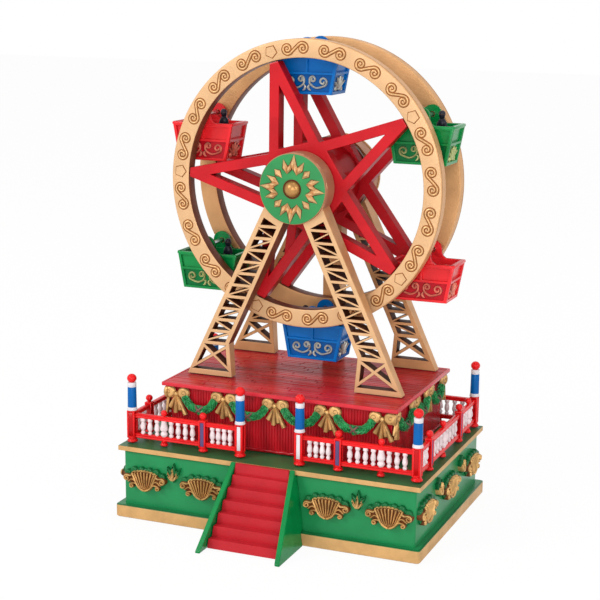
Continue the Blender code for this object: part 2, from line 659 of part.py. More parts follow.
def fence_run(stations, counts, fats):
    """One straight run of fence along X at y = 0, standing on z = 0, from post to post."""
    ends = (stations[0] + POST_WIDTH / 2 + SEAT, stations[-1] - POST_WIDTH / 2 - SEAT)
    pieces = []
    for number, (left, right) in enumerate(zip(stations, stations[1:])):
        first, last = number == 0, number == len(stations) - 2
        start = ends[0] + 0.0004 if first else left + NEWEL_WIDTH / 2
        end = ends[1] - 0.0004 if last else right - NEWEL_WIDTH / 2
        gaps, places = baluster_gaps(start, end, counts[number], fats[number])
        outline = rectangle(ends[0] if first else start - 0.0005, ends[1] if last else end + 0.0005,
                            BOTTOM_RAIL_Z, TOP_RAIL_Z)
        pieces.append(plate(outline, gaps, -RAIL_THICK / 2, RAIL_THICK / 2, "XZ"))
        if fats[number] is not None:
            pieces += [moved_by(piece, (places[fats[number]], 0, 0)) for piece in middle_support()]
    pieces += [moved_by(newel(), (x, 0, 0)) for x in stations[1:-1]]
    return combine(pieces[0], pieces[1:])


def flag_post():
    """A tall post: foot ring, square shaft, white ring, blue tube, white ring and red ball."""
    half, tube, ball = POST_WIDTH / 2, POST_TUBE_RADIUS, POST_BALL
    return stacked([round_ring(half * 1.38, SEAT), round_ring(half * 1.38, 0.0012), square_ring(half, 0.0015),
                    square_ring(half, POST_SQUARE_HEIGHT), round_ring(POST_RING_RADIUS, POST_SQUARE_HEIGHT),
                    round_ring(tube, POST_SQUARE_HEIGHT + 0.0014), round_ring(tube, POST_RING_TOP),
                    round_ring(ball * 0.7, POST_RING_TOP), round_ring(ball, POST_RING_TOP + ball * 0.9),
                    round_ring(ball * 0.5, POST_RING_TOP + ball * 2.0)])


def make_fence():
    """Five runs of fence and the six tall posts that end them."""
    quarter = Matrix.Rotation(math.pi / 2, 4, "Z")
    front = [STAIR_POST_X, NEWEL_X, FENCE_X]
    right = fence_run(front, FRONT_BALUSTERS, (None, 4))
    left = fence_run([-x for x in reversed(front)], FRONT_BALUSTERS[::-1], (3, None))
    add("fence_front_left", moved_by(left, (0, FENCE_FRONT_Y, TERRACE_Z)), "red_gloss")
    add("fence_front_right", moved_by(right, (0, FENCE_FRONT_Y, TERRACE_Z)), "red_gloss")
    side = fence_run([FENCE_FRONT_Y, *NEWEL_SIDE_Y, FENCE_BACK_Y], SIDE_BALUSTERS, (None, 3, 2))
    for name, x in (("fence_left", -FENCE_X), ("fence_right", FENCE_X)):
        add(name, moved_by(side, (x, 0, TERRACE_Z), quarter), "red_gloss")
    back = fence_run([-FENCE_X, *NEWEL_BACK_X, FENCE_X], BACK_BALUSTERS, (3, 3, 3, 3))
    add("fence_back", moved_by(back, (0, FENCE_BACK_Y, TERRACE_Z)), "red_gloss")
    places = {"post_front_left": (-FENCE_X, FENCE_FRONT_Y), "post_front_right": (FENCE_X, FENCE_FRONT_Y),
              "post_back_left": (-FENCE_X, FENCE_BACK_Y), "post_back_right": (FENCE_X, FENCE_BACK_Y),
              "post_stair_left": (-STAIR_POST_X, FENCE_FRONT_Y),
              "post_stair_right": (STAIR_POST_X, FENCE_FRONT_Y)}
    for name, (x, y) in places.items():
        add(name, moved_by(flag_post(), (x, y, TERRACE_Z)), "blue_gloss", (x, y, TERRACE_Z))


def leg_x(z, outer):
    """Where the outer or the inner edge of a leg lies at a height; the inner edge bends at the knee."""
    if outer:
        share = (z - FOOT_Z) / (LEG_TOP_Z - FOOT_Z)
        return FOOT_OUTER_X + (LEG_OUTER_TOP_X - FOOT_OUTER_X) * share
    if z < KNEE_Z:
        share = (z - FOOT_Z) / (KNEE_Z - FOOT_Z)
        return FOOT_INNER_X + (KNEE_X - FOOT_INNER_X) * share
    share = (z - KNEE_Z) / (LEG_TOP_Z - KNEE_Z)
    return KNEE_X + (LEG_INNER_TOP_X - KNEE_X) * share


def triangle_inside(a, b, c, inset):
    """A triangle moved in from its three sides by their own insets."""
    corners = [Vector(a), Vector(b), Vector(c)]
    turn = (corners[1] - corners[0]).cross(corners[2] - corners[0])
    lines = []
    for i in range(3):
        start, end = corners[i], corners[(i + 1) % 3]
        along = (end - start).normalized()
        normal = Vector((-along.y, along.x)) * (1 if turn > 0 else -1)
        lines.append((start + normal * inset[i], along))
    points = []
    for i in range(3):
        (p, d), (q, e) = lines[i - 1], lines[i]
        t = (q - p).cross(e) / d.cross(e)
        points.append(tuple(p + d * t))
    return points


def leg_windows(foot_strip):
    """The openings of the right leg: a crossed panel at the foot and a lattice above the knee."""
    bar, slim, rung, brace = LEG_BAR, LATTICE_BAR / 2, LATTICE_RUNG / 2, FOOT_BRACE / 2
    low, high = FOOT_Z + foot_strip, KNEE_Z - rung
    left_low, left_high = (leg_x(low, False), low), (leg_x(high, False), high)
    right_low, right_high = (leg_x(low, True), low), (leg_x(high, True), high)
    d, e = Vector(right_high) - Vector(left_low), Vector(left_high) - Vector(right_low)
    t = (Vector(right_low) - Vector(left_low)).cross(e) / d.cross(e)
    middle = tuple(Vector(left_low) + d * t)
    holes = [triangle_inside(left_low, right_low, middle, (0.0, brace, brace)),
             triangle_inside(right_low, right_high, middle, (bar, brace, brace)),
             triangle_inside(right_high, left_high, middle, (rung - slim, brace, brace)),
             triangle_inside(left_high, left_low, middle, (bar, brace, brace))]
    for number in range(LATTICE_CELLS):
        low, high = KNEE_Z + number * LATTICE_CELL, KNEE_Z + (number + 1) * LATTICE_CELL
        left_low, left_high = (leg_x(low, False), low), (leg_x(high, False), high)
        right_low, right_high = (leg_x(low, True), low), (leg_x(high, True), high)
        if number == LATTICE_CELLS - 1:
            holes.append(triangle_inside(left_low, right_low, right_high, (rung, bar, rung)))
        elif number % 2:
            holes.append(triangle_inside(left_low, right_low, right_high, (rung, bar, slim)))
            holes.append(triangle_inside(left_low, right_high, left_high, (slim, rung, bar)))
        else:
            holes.append(triangle_inside(left_low, right_low, left_high, (rung, slim, bar)))
            holes.append(triangle_inside(right_low, right_high, left_high, (bar, rung, slim)))
    return holes


def frame_plate(hub_radius, front_y, foot_strip):
    """Two latticed legs that meet in a round hub; the depth grows from the feet to the hub."""
    def meets(outer):
        low, high = LEG_TOP_Z - 0.035, LEG_TOP_Z + 0.02
        for _ in range(40):
            z = (low + high) / 2
            if math.hypot(leg_x(z, outer), z - AXLE_Z) > hub_radius:
                low = z
            else:
                high = z
        return math.atan2(low - AXLE_Z, leg_x(low, outer))
    outer_angle, inner_angle = meets(True), meets(False)
    top = arc(hub_radius, outer_angle, math.pi - outer_angle, 29, (0.0, AXLE_Z))
    bottom = arc(hub_radius, -math.pi - inner_angle, inner_angle, 5, (0.0, AXLE_Z))
    outline = ([(FOOT_INNER_X, FOOT_Z), (FOOT_OUTER_X, FOOT_Z)] + top
               + [(-FOOT_OUTER_X, FOOT_Z), (-FOOT_INNER_X, FOOT_Z), (-KNEE_X, KNEE_Z)] + bottom
               + [(KNEE_X, KNEE_Z)])
    holes = leg_windows(foot_strip)
    holes += [[(-x, z) for x, z in hole] for hole in holes]
    return plate(outline, holes, front_y, front_y + FRAME_DEPTH_TOP)


def taper_depth(mesh, flat_y):
    """Thin the legs towards the feet, from behind."""
    for vertex in mesh.vertices:
        share = min(max((vertex.co.z - FOOT_Z) / (LEG_TOP_Z - 0.004 - FOOT_Z), 0.0), 1.0)
        depth = FRAME_DEPTH_FOOT + (FRAME_DEPTH_TOP - FRAME_DEPTH_FOOT) * share
        if abs(vertex.co.y - flat_y) > FRAME_DEPTH_TOP / 2:
            vertex.co.y = flat_y + depth
    return mesh


def make_frames():
    """The front and the rear A-frame, with their caps, bushes and the column of the drive shaft."""
    bore = BUSH_RADIUS + SEAT
    front = taper_depth(frame_plate(HUB_CAP_RADIUS, FRAME_FRONT_Y, FOOT_STRIP), FRAME_FRONT_Y)
    drill = turned([(bore, -0.02), (bore, 0.02)], 24, "Y", (0, FRAME_FRONT_Y, AXLE_Z))
    add("front_frame", cut(front, [drill]), "satin_gold")
    rear = taper_depth(frame_plate(HOUSING_RADIUS, REAR_FRAME_Y, REAR_FOOT_STRIP), REAR_FRAME_Y)
    inner = HOUSING_RADIUS - HOUSING_WALL
    back_wall = SHAFT_Y + PINION_TIP + RUNNING
    hollow = turned([(inner, REAR_FRAME_Y - 0.01), (inner, back_wall)], 32, "Y", (0, 0, AXLE_Z))
    shaft_way = SHAFT_RADIUS + RUNNING
    slot = box((-shaft_way, shaft_way), (SHAFT_Y - shaft_way, SHAFT_Y + shaft_way),
               (AXLE_Z - HOUSING_RADIUS - 0.01, AXLE_Z - inner / 2))
    drill = turned([(bore, 0.0), (bore, 0.02)], 24, "Y", (0, back_wall - 0.005, AXLE_Z))
    add("rear_frame", cut(rear, [hollow, slot, drill]), "satin_gold")

    ball = [(0, -HUB_CAP_THICK - HUB_BALL_RADIUS * 0.62)]
    ball += [(HUB_BALL_RADIUS * math.cos(a), -HUB_CAP_THICK - HUB_BALL_RADIUS * 0.62 * math.sin(a))
             for a in (1.05, 0.5)]
    lip = HUB_CAP_RADIUS - 0.0010
    profile = ball + [(HUB_BALL_RADIUS, 0.0004 - HUB_CAP_THICK), (lip, 0.0004 - HUB_CAP_THICK),
                      (lip, -HUB_CAP_THICK), (HUB_CAP_RADIUS, -HUB_CAP_THICK), (HUB_CAP_RADIUS, 0), (0, 0)]
    add("front_hub_cap", turned(profile, 32, "Y", (0, FRAME_FRONT_Y - SEAT, AXLE_Z)), "green_leaf",
        (0, FRAME_FRONT_Y, AXLE_Z), smooth=True)
    rear_cap = [(0, 0), (REAR_CAP_RADIUS, 0), (REAR_CAP_RADIUS, HUB_CAP_THICK), (0, HUB_CAP_THICK)]
    add("rear_hub_cap", turned(rear_cap, 36, "Y", (0, REAR_FRAME_BACK_Y + SEAT, AXLE_Z)), "satin_gold",
        (0, REAR_FRAME_BACK_Y, AXLE_Z), smooth=True)

    inside = AXLE_RADIUS + RUNNING
    for name, low, high in (("front_bush", FRAME_FRONT_Y + SEAT, FRAME_FRONT_Y + FRAME_DEPTH_TOP),
                            ("rear_bush", back_wall - 0.0028, REAR_FRAME_BACK_Y)):
        ring = [(inside, low), (BUSH_RADIUS, low), (BUSH_RADIUS, high), (inside, high)]
        add(name, turned(ring, 20, "Y", (0, 0, AXLE_Z), closed=True), "brass", (0, low, AXLE_Z), smooth=True)

    half_x, half_y = COLUMN_WIDTH / 2, COLUMN_DEPTH / 2
    under = AXLE_Z - math.sqrt(HOUSING_RADIUS ** 2 - half_x ** 2) - SEAT
    curve = [(-half_x + COLUMN_WIDTH * i / 6) for i in range(7)]
    crown = [(x, AXLE_Z - math.sqrt((HOUSING_RADIUS + SEAT) ** 2 - x ** 2)) for x in curve]
    outline = [(half_x, FOOT_Z)] + crown[::-1] + [(-half_x, FOOT_Z)]
    tube = plate(outline, [], SHAFT_Y - half_y, SHAFT_Y + half_y)
    passage = box((COLUMN_WALL - half_x, half_x - COLUMN_WALL),
                  (SHAFT_Y - half_y + COLUMN_WALL, SHAFT_Y + half_y - COLUMN_WALL), (0, under + 0.01))
    add("drive_column", cut(tube, [passage]), "satin_gold")


def star_outline():
    """Five arms cut off where they meet the rim, and the notches between them."""
    reach = RIM_INNER - SEAT
    tan = math.tan(math.radians(STAR_ARM_ANGLE))
    slope = math.tan(math.pi / 5)
    notch_x = STAR_APEX * tan / (slope + tan)
    notch = (notch_x / math.cos(math.pi / 5))
    tip_half = math.asin((STAR_APEX - reach) * tan / reach)
    points = []
    for number in range(5):
        angle = math.radians(STAR_TURN) + number * math.tau / 5
        for turn in (-tip_half, tip_half):
            points.append((reach * math.cos(angle + turn), AXLE_Z + reach * math.sin(angle + turn)))
        between = angle + math.pi / 5
        points.append((notch * math.cos(between), AXLE_Z + notch * math.sin(between)))
    return points


def star_windows():
    """One long triangular opening in each arm, from the hub to near the tip."""
    tan = math.tan(math.radians(STAR_ARM_ANGLE))
    apex = STAR_APEX - STAR_BAR / math.sin(math.radians(STAR_ARM_ANGLE))
    start = HUB_RADIUS + 0.0012
    windows = []
    for number in range(5):
        angle = math.radians(STAR_TURN) + number * math.tau / 5
        corners = [(apex, 0.0), (start, (apex - start) * tan), (start, -(apex - start) * tan)]
        windows.append([(u * math.cos(angle) - v * math.sin(angle),
                         AXLE_Z + u * math.sin(angle) + v * math.cos(angle)) for u, v in corners])
    return windows


def crown_gear(teeth, middle, ring, tooth_height, blank):
    """A turned blank whose top face is at z = 0, with teeth standing on it; a gap is centred on +X."""
    shape = bmesh.new()
    for number in range(teeth):
        spin = Matrix.Rotation(math.tau * (number + 0.5) / teeth, 3, "Z")
        levels = []
        for height, half in ((-CROWN_THICK / 2, CROWN_TOOTH_WIDTH / 2),
                             (tooth_height, CROWN_TOOTH_WIDTH * 0.35)):
            corners = rectangle(middle - ring / 2, middle + ring / 2, -half, half)
            levels.append([shape.verts.new(spin @ Vector((u, v, height))) for u, v in corners])
        for i in range(4):
            j = (i + 1) % 4
            shape.faces.new((levels[0][i], levels[0][j], levels[1][j], levels[1][i]))
        shape.faces.new(levels[0])
        shape.faces.new(levels[1])
    return combine(blank, [to_mesh(shape)])


def gear_outline(teeth, tip, root, width, centre):
    """A spur gear's outline with straight teeth, one of them pointing along +X."""
    points = []
    for number in range(teeth):
        angle = math.tau * number / teeth
        along = (math.cos(angle), math.sin(angle))
        for radius, side in ((root, -1), (tip, -1), (tip, 1), (root, 1)):
            half = side * width / 2 * (1.15 if radius == root else 0.85)
            reach = math.sqrt(radius ** 2 - half ** 2)
            points.append((centre[0] + reach * along[0] - half * along[1],
                           centre[1] + reach * along[1] + half * along[0]))
    return points


def make_wheel():
    """Two rims with a star in each, a hub drum, the axle and the crown gear, and six rods."""
    axle = empty("wheel_axis", (0, WHEEL_MIDDLE_Y, AXLE_Z))
    centre = (0, WHEEL_MIDDLE_Y, AXLE_Z)
    for name, low in (("front", FRONT_RIM_Y), ("rear", REAR_RIM_Y)):
        high = low + RIM_DEPTH
        ring = [(RIM_INNER, low), (WHEEL_RADIUS, low), (WHEEL_RADIUS, high), (RIM_INNER, high)]
        rim = turned(ring, RIM_SEGMENTS, "Y", (0, 0, AXLE_Z), closed=True)
        add(name + "_rim", rim, "satin_gold", centre, axle, smooth=True)
        star = plate(star_outline(), star_windows() + [circle(AXLE_RADIUS + RUNNING, 20, (0, AXLE_Z))],
                     low + STAR_INSET, high - STAR_INSET)
        add(name + "_star", star, "red_star", centre, axle)
    bore = AXLE_RADIUS + RUNNING
    low, high = FRONT_RIM_BACK_Y - STAR_INSET + SEAT, REAR_RIM_Y + STAR_INSET - SEAT
    drum = turned([(bore, low), (HUB_RADIUS, low), (HUB_RADIUS, high), (bore, high)], 36, "Y",
                  (0, 0, AXLE_Z), closed=True)
    add("hub_drum", drum, "red_star", centre, axle, smooth=True)
    start = FRAME_FRONT_Y + SEAT
    end = REAR_FRAME_BACK_Y
    rod = turned([(0, start), (AXLE_RADIUS, start), (AXLE_RADIUS, end), (0, end)], 20, "Y", (0, 0, AXLE_Z))
    add("axle", rod, "steel", centre, axle, smooth=True)
    depth = CROWN_FACE_Y - REAR_STAR_BACK_Y - SEAT
    blank = turned([(bore, -depth), (CROWN_FLANGE_RADIUS, -depth), (CROWN_FLANGE_RADIUS, -CROWN_THICK),
                    (CROWN_MIDDLE + CROWN_RING * 0.6, 0), (bore, 0)], 32, closed=True)
    gear = crown_gear(CROWN_TEETH, CROWN_MIDDLE, CROWN_RING, TOOTH_DEPTH, blank)
    face_back = Matrix.Rotation(-math.pi / 2, 4, "X") @ Matrix.Rotation(math.pi / 2, 4, "Z")
    add("crown_gear", moved_by(gear, (0, CROWN_FACE_Y, AXLE_Z), face_back), "brown_plastic", centre, axle)
    for number in range(GONDOLAS):
        angle = math.radians(GONDOLA_TURN + number * 360 / GONDOLAS)
        x, z = ROD_CIRCLE * math.cos(angle), AXLE_Z + ROD_CIRCLE * math.sin(angle)
        low, high = FRONT_RIM_BACK_Y + SEAT, REAR_RIM_Y - SEAT
        pin = turned([(0, low), (ROD_RADIUS, low), (ROD_RADIUS, high), (0, high)], 10, "Y", (x, 0, z))
        add(f"gondola_rod_{number + 1}", pin, "steel", (x, WHEEL_MIDDLE_Y, z), axle, smooth=True)
        place = empty(f"gondola_axis_{number + 1}", (x, WHEEL_MIDDLE_Y, z), axle)
        colour = ("blue_gloss", "red_gloss", "green_leaf")[number % 3]
        tub = moved_by(gondola_tub(EMPTY_SEATS.get(number + 1, ())), (x, WHEEL_MIDDLE_Y, z))
        add(f"gondola_{number + 1}", tub, colour, (x, WHEEL_MIDDLE_Y, z), place)


def tub_block(inset, top_z, foot_z):
    """The flared block of a tub, drawn in from its outside by an inset."""
    shape = bmesh.new()
    levels = []
    slope = (TUB_TOP_LENGTH - TUB_FOOT_LENGTH) / 2 / TUB_HEIGHT
    foot = -TUB_DROP - TUB_HEIGHT
    for z in (foot_z, top_z):
        half_x = TUB_FOOT_LENGTH / 2 + (z - foot) * slope - inset
        half_y = TUB_DEPTH / 2 - inset
        levels.append([shape.verts.new((u, v, z)) for u, v in rectangle(-half_x, half_x, -half_y, half_y)])
    for i in range(4):
        j = (i + 1) % 4
        shape.faces.new((levels[0][i], levels[0][j], levels[1][j], levels[1][i]))
    shape.faces.new(levels[0])
    shape.faces.new(levels[1])
    return to_mesh(shape)


def rider():
    """A plain seated figure in two turned lumps, body and head."""
    foot = -TUB_DROP - TUB_HEIGHT + TUB_WALL / 2
    neck = RIDER_TOP - 2.6 * RIDER_HEAD
    profile = [(0, foot), (RIDER_SHOULDER, foot), (RIDER_SHOULDER, neck - 0.0012), (RIDER_HEAD * 0.6, neck),
               (RIDER_HEAD, neck + RIDER_HEAD), (RIDER_HEAD * 0.7, RIDER_TOP - 0.0005), (0, RIDER_TOP)]
    return turned(profile, 7)


def gondola_tub(empty_seats):
    """An open flared tub with a lug on each long side and its riders, round its own rod."""
    top, foot = -TUB_DROP, -TUB_DROP - TUB_HEIGHT
    tub = cut(tub_block(0, top, foot), [tub_block(TUB_WALL, top + 0.001, foot + TUB_WALL)])
    lugs = []
    for side in (-1, 1):
        outer = side * TUB_DEPTH / 2
        span = sorted((outer, outer - side * TUB_WALL))
        outline = arc(LUG_RADIUS, 0, math.pi, 9) + [(-LUG_RADIUS - 0.0016, top - 0.001),
                                                   (LUG_RADIUS + 0.0016, top - 0.001)]
        lugs.append(plate(outline, [], span[0], span[1]))
    riders = [moved_by(rider(), (side * RIDER_OFFSET, 0, 0)) for side in (-1, 1) if side not in empty_seats]
    hole = ROD_RADIUS + RUNNING
    drill = turned([(hole, -TUB_DEPTH), (hole, TUB_DEPTH)], 10, "Y")
    return cut(combine(tub, lugs + riders), [drill])


def make_movement():
    """The wind-up movement behind the base's rear wall, and the shaft that climbs to the wheel."""
    column_top = AXLE_Z - CROWN_MIDDLE + CROWN_RING / 2
    pinion_low = AXLE_Z - CROWN_MIDDLE - CROWN_RING / 2
    lower_low = MOVEMENT_Z + CYLINDER_MIDDLE - CYLINDER_RING / 2
    lower_high = MOVEMENT_Z + CYLINDER_MIDDLE + CYLINDER_RING / 2
    root = PINION_TIP - TOOTH_DEPTH
    teeth = gear_outline(PINION_TEETH, PINION_TIP, root, TOOTH_WIDTH, (0.0, SHAFT_Y))
    rod = turned([(0, lower_low - 0.0006), (SHAFT_RADIUS, lower_low - 0.0006),
                  (SHAFT_RADIUS, column_top + 0.0006), (0, column_top + 0.0006)], 12, "Z", (0, SHAFT_Y, 0))
    upper = plate(teeth, [], pinion_low, column_top, "XY")
    lower = plate(teeth, [], lower_low, lower_high, "XY")
    add("drive_shaft", combine(rod, [upper, lower]), "steel", (0, SHAFT_Y, MOVEMENT_Z), smooth=True)

    centre = (0, SHAFT_Y, MOVEMENT_Z)
    drum_start = CYLINDER_FACE_X + CROWN_THICK - 0.0002
    drum_end = drum_start + CYLINDER_LENGTH
    arbor = SHAFT_RADIUS
    gear_low, gear_high = END_GEAR_X - BARREL_RING / 2 + 0.0002, END_GEAR_X + BARREL_RING / 2 - 0.0002
    wheel = WORM_WHEEL_RADIUS
    profile = [(0, gear_low - 0.0006), (arbor, gear_low - 0.0006), (arbor, drum_start),
               (CYLINDER_RADIUS, drum_start), (CYLINDER_RADIUS, drum_end), (arbor, drum_end),
               (arbor, GOVERNOR_X - 0.0008), (wheel, GOVERNOR_X - 0.0008), (wheel, GOVERNOR_X + 0.0008),
               (arbor, GOVERNOR_X + 0.0008), (arbor, CYLINDER_END_X), (0, CYLINDER_END_X)]
    body = turned(profile, 16, "X", centre)
    end_gear = plate(gear_outline(CYLINDER_TEETH, CYLINDER_TIP, CYLINDER_TIP - TOOTH_DEPTH, TOOTH_WIDTH,
                                  (SHAFT_Y, MOVEMENT_Z)), [], gear_low, gear_high, "YZ")
    outer = CYLINDER_MIDDLE + CYLINDER_RING / 2
    blank = turned([(0, -CROWN_THICK), (outer, -CROWN_THICK), (outer, 0), (0, 0)], 20)
    crown = crown_gear(CYLINDER_TEETH, CYLINDER_MIDDLE, CYLINDER_RING, TOOTH_DEPTH, blank)
    face_left = Matrix.Rotation(-math.pi / 2, 4, "Y")
    crown = moved_by(crown, (CYLINDER_FACE_X, SHAFT_Y, MOVEMENT_Z), face_left)
    add("music_cylinder", combine(body, [end_gear, crown]), "brass", centre, smooth=True)

    axis = (BARREL_X, BARREL_FACE_Y, MOVEMENT_Z)
    bore = KEY_SHAFT_RADIUS + RUNNING
    ring = [(bore, -BARREL_LENGTH), (BARREL_RADIUS, -BARREL_LENGTH), (BARREL_RADIUS, 0), (bore, 0)]
    blank = turned(ring, 28, closed=True)
    barrel = crown_gear(BARREL_TEETH, BARREL_MIDDLE, BARREL_RING, BARREL_TOOTH_HEIGHT, blank)
    face_back = Matrix.Rotation(-math.pi / 2, 4, "X")
    add("spring_barrel", moved_by(barrel, axis, face_back), "brass", axis, smooth=True)

    key_start = BARREL_FACE_Y - BARREL_LENGTH / 2
    handle = WALL_Y + 0.0012
    stem = turned([(0, key_start), (KEY_SHAFT_RADIUS, key_start), (KEY_SHAFT_RADIUS, handle + 0.0010),
                   (0, handle + 0.0010)], 14, "Y", (BARREL_X, 0, MOVEMENT_Z))
    half, waist = KEY_WIDTH / 2, 0.0020
    right_side = [(waist, 0), (half, 0.0025), (half, KEY_LENGTH - 0.0015), (half - 0.0015, KEY_LENGTH),
                  (waist, KEY_LENGTH - 0.0018)]
    wing = right_side + [(-x, y) for x, y in reversed(right_side)]
    wings = plate([(BARREL_X + x, handle + y) for x, y in wing], [], MOVEMENT_Z - KEY_THICK / 2,
                  MOVEMENT_Z + KEY_THICK / 2, "XY")
    add("winding_key", combine(stem, [wings]), "brass", (BARREL_X, WALL_Y, MOVEMENT_Z), smooth=True)

    comb_y = SHAFT_Y - CYLINDER_RADIUS - RUNNING
    comb_z = MOVEMENT_Z - COMB_THICK / 2
    comb_start = drum_start + (CYLINDER_LENGTH - COMB_WIDTH) / 2
    pitch = COMB_WIDTH / (2 * COMB_TEETH - 1)
    outline = [(comb_start, comb_y - COMB_LENGTH), (comb_start + COMB_WIDTH, comb_y - COMB_LENGTH)]
    for number in range(COMB_TEETH - 1, -1, -1):
        left = comb_start + 2 * number * pitch
        root_y = comb_y - COMB_LENGTH * 0.62
        outline += [(left + pitch, root_y), (left + pitch, comb_y), (left, comb_y), (left, root_y)]
    outline = [outline[0], outline[1]] + outline[3:-1]
    add("comb", plate(outline, [], comb_z, comb_z + COMB_THICK, "XY"), "steel")

    make_governor()
    make_bedplate(comb_start, comb_y, comb_z, drum_end)


def make_governor():
    """The air brake: a worm on an upright arbor with two fan blades."""
    low, high = COVER_THICK + SEAT + BEDPLATE_THICK - 0.0006, BEDPLATE_TOP_Z
    thin = 0.0006
    body = turned([(0, low), (thin, low), (thin, MOVEMENT_Z - 0.0045), (WORM_RADIUS, MOVEMENT_Z - 0.0045),
                   (WORM_RADIUS, MOVEMENT_Z + 0.0040), (thin, MOVEMENT_Z + 0.0040), (thin, high), (0, high)],
                  12, "Z", (GOVERNOR_X, GOVERNOR_Y, 0))
    fan_low = MOVEMENT_Z + CYLINDER_TIP - 0.0004
    half = thin / 2
    blades = box((GOVERNOR_X - FAN_RADIUS, GOVERNOR_X + FAN_RADIUS), (GOVERNOR_Y - half, GOVERNOR_Y + half),
                 (fan_low, BEDPLATE_TOP_Z - BEDPLATE_THICK - FAN_ROOM))
    add("governor", combine(body, [blades]), "brass", (GOVERNOR_X, GOVERNOR_Y, MOVEMENT_Z), smooth=True)


def make_bedplate(comb_start, comb_y, comb_z, drum_end):
    """The movement's frame: a back plate, a foot plate, ears for the arbors and the comb's block."""
    thick = BEDPLATE_THICK
    floor = COVER_THICK + SEAT
    foot_left = CYLINDER_FACE_X - 0.0010
    front_y = comb_y - COMB_LENGTH - 0.0010
    back = box((BEDPLATE_LEFT_X, BEDPLATE_RIGHT_X), (BEDPLATE_Y, BEDPLATE_Y + thick),
               (floor, BEDPLATE_TOP_Z))
    foot = box((foot_left, BEDPLATE_RIGHT_X), (front_y, BEDPLATE_Y + thick / 2), (floor, floor + thick))
    ear_top = MOVEMENT_Z + 0.0030
    ear_low = END_GEAR_X + BARREL_RING / 2 + 0.0004
    ear_high = ear_low + 0.0010
    left_ear = box((ear_low, ear_high), (SHAFT_Y - 0.0025, BEDPLATE_Y + thick / 2),
                   (MOVEMENT_Z - 0.0030, ear_top))
    right_x = (drum_end + GOVERNOR_X) / 2
    right_ear = box((right_x - thick / 2, right_x + thick / 2), (SHAFT_Y - 0.0025, BEDPLATE_Y + thick / 2),
                    (floor + thick / 2, ear_top))
    block = box((comb_start, comb_start + COMB_WIDTH), (comb_y - COMB_LENGTH, comb_y - COMB_LENGTH + 0.0048),
                (floor + thick / 2, comb_z - SEAT))
    tab_low = MOVEMENT_Z + CYLINDER_MIDDLE + CYLINDER_RING / 2 + 0.0006
    shaft_tab = box((-0.0030, 0.0030), (SHAFT_Y - 0.0028, BEDPLATE_Y + thick / 2), (tab_low, tab_low + thick))
    post = box((BEDPLATE_RIGHT_X - thick, BEDPLATE_RIGHT_X - 0.0001),
               (GOVERNOR_Y - 0.0015, GOVERNOR_Y + 0.0015), (floor + thick / 2, BEDPLATE_TOP_Z))
    tab = box((GOVERNOR_X - 0.0018, BEDPLATE_RIGHT_X - thick / 2), (GOVERNOR_Y - 0.0014, GOVERNOR_Y + 0.0014),
              (BEDPLATE_TOP_Z - thick, BEDPLATE_TOP_Z - 0.0001))
    frame = combine(back, [foot, left_ear, right_ear, block, shaft_tab, post, tab])
    arbor = SHAFT_RADIUS + RUNNING
    arbor_drill = turned([(arbor, -0.02), (arbor, 0.05)], 12, "X", (0, SHAFT_Y, MOVEMENT_Z))
    shaft_drill = turned([(arbor, tab_low - 0.001), (arbor, tab_low + 0.004)], 12, "Z", (0, SHAFT_Y, 0))
    pivot = 0.0006 + RUNNING
    pivot_drill = turned([(pivot, floor + 0.0004), (pivot, 2 * BEDPLATE_TOP_Z)], 12, "Z",
                         (GOVERNOR_X, GOVERNOR_Y, 0))
    key = KEY_SHAFT_RADIUS + RUNNING
    key_drill = turned([(key, BEDPLATE_Y - 0.001), (key, BEDPLATE_Y + 0.004)], 14, "Y",
                       (BARREL_X, 0, MOVEMENT_Z))
    add("movement_bedplate", cut(frame, [arbor_drill, shaft_drill, pivot_drill, key_drill]), "brass")


def main():
    for item in list(bpy.data.objects):
        bpy.data.objects.remove(item)
    make_base()
    make_stairs()
    make_house()
    make_fence()
    make_frames()
    make_wheel()
    make_movement()


main()
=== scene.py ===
# %% [markdown]
# # A ferris wheel music box
# A painted wind-up box: a green base with a red stair, a little boarded house with garlands, a fence with
# striped posts, and on top a wheel with six hanging gondolas between two lattice A-frames.
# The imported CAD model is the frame.  Some of its solids only need paint; where the real piece carries
# carving, planks or turned work, a finer piece is made here and stands in for the solid.  All sizes are in
# metres, apart from the outlines that pass through mm(), which are in millimetres.

import math
import random

import bpy
import numpy as np
from mathutils import Matrix, Vector
from mathutils.geometry import tessellate_polygon


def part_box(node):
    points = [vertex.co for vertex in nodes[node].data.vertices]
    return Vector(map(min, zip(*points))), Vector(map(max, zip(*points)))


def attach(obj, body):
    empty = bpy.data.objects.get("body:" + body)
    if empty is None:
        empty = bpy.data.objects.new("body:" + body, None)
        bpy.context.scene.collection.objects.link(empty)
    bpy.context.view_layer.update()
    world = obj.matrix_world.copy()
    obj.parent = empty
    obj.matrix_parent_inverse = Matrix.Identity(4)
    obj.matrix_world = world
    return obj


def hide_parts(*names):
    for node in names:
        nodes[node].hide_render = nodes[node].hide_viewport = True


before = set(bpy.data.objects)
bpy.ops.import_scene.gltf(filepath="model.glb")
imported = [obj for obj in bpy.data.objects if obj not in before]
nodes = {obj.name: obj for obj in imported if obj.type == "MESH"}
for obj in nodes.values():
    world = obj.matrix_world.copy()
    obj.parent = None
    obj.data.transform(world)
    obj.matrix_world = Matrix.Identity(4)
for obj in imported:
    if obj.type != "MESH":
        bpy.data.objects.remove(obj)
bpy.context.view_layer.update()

# %% [markdown]
# ## The view
# The photograph looks down a little from the front right with a long lens.  The camera is written as a
# position and two tilts, plus a small roll; the lens shift only centres the picture as the photograph does.

# %% Camera
YAW, PITCH, ROLL = (math.radians(a) for a in (22.098, 12.717, 0.637))
CAMERA_PLACE = (0.22205, -0.55217, 0.21571)
LENS = 89.65
LENS_SHIFT = (-0.0030, 0.0243)


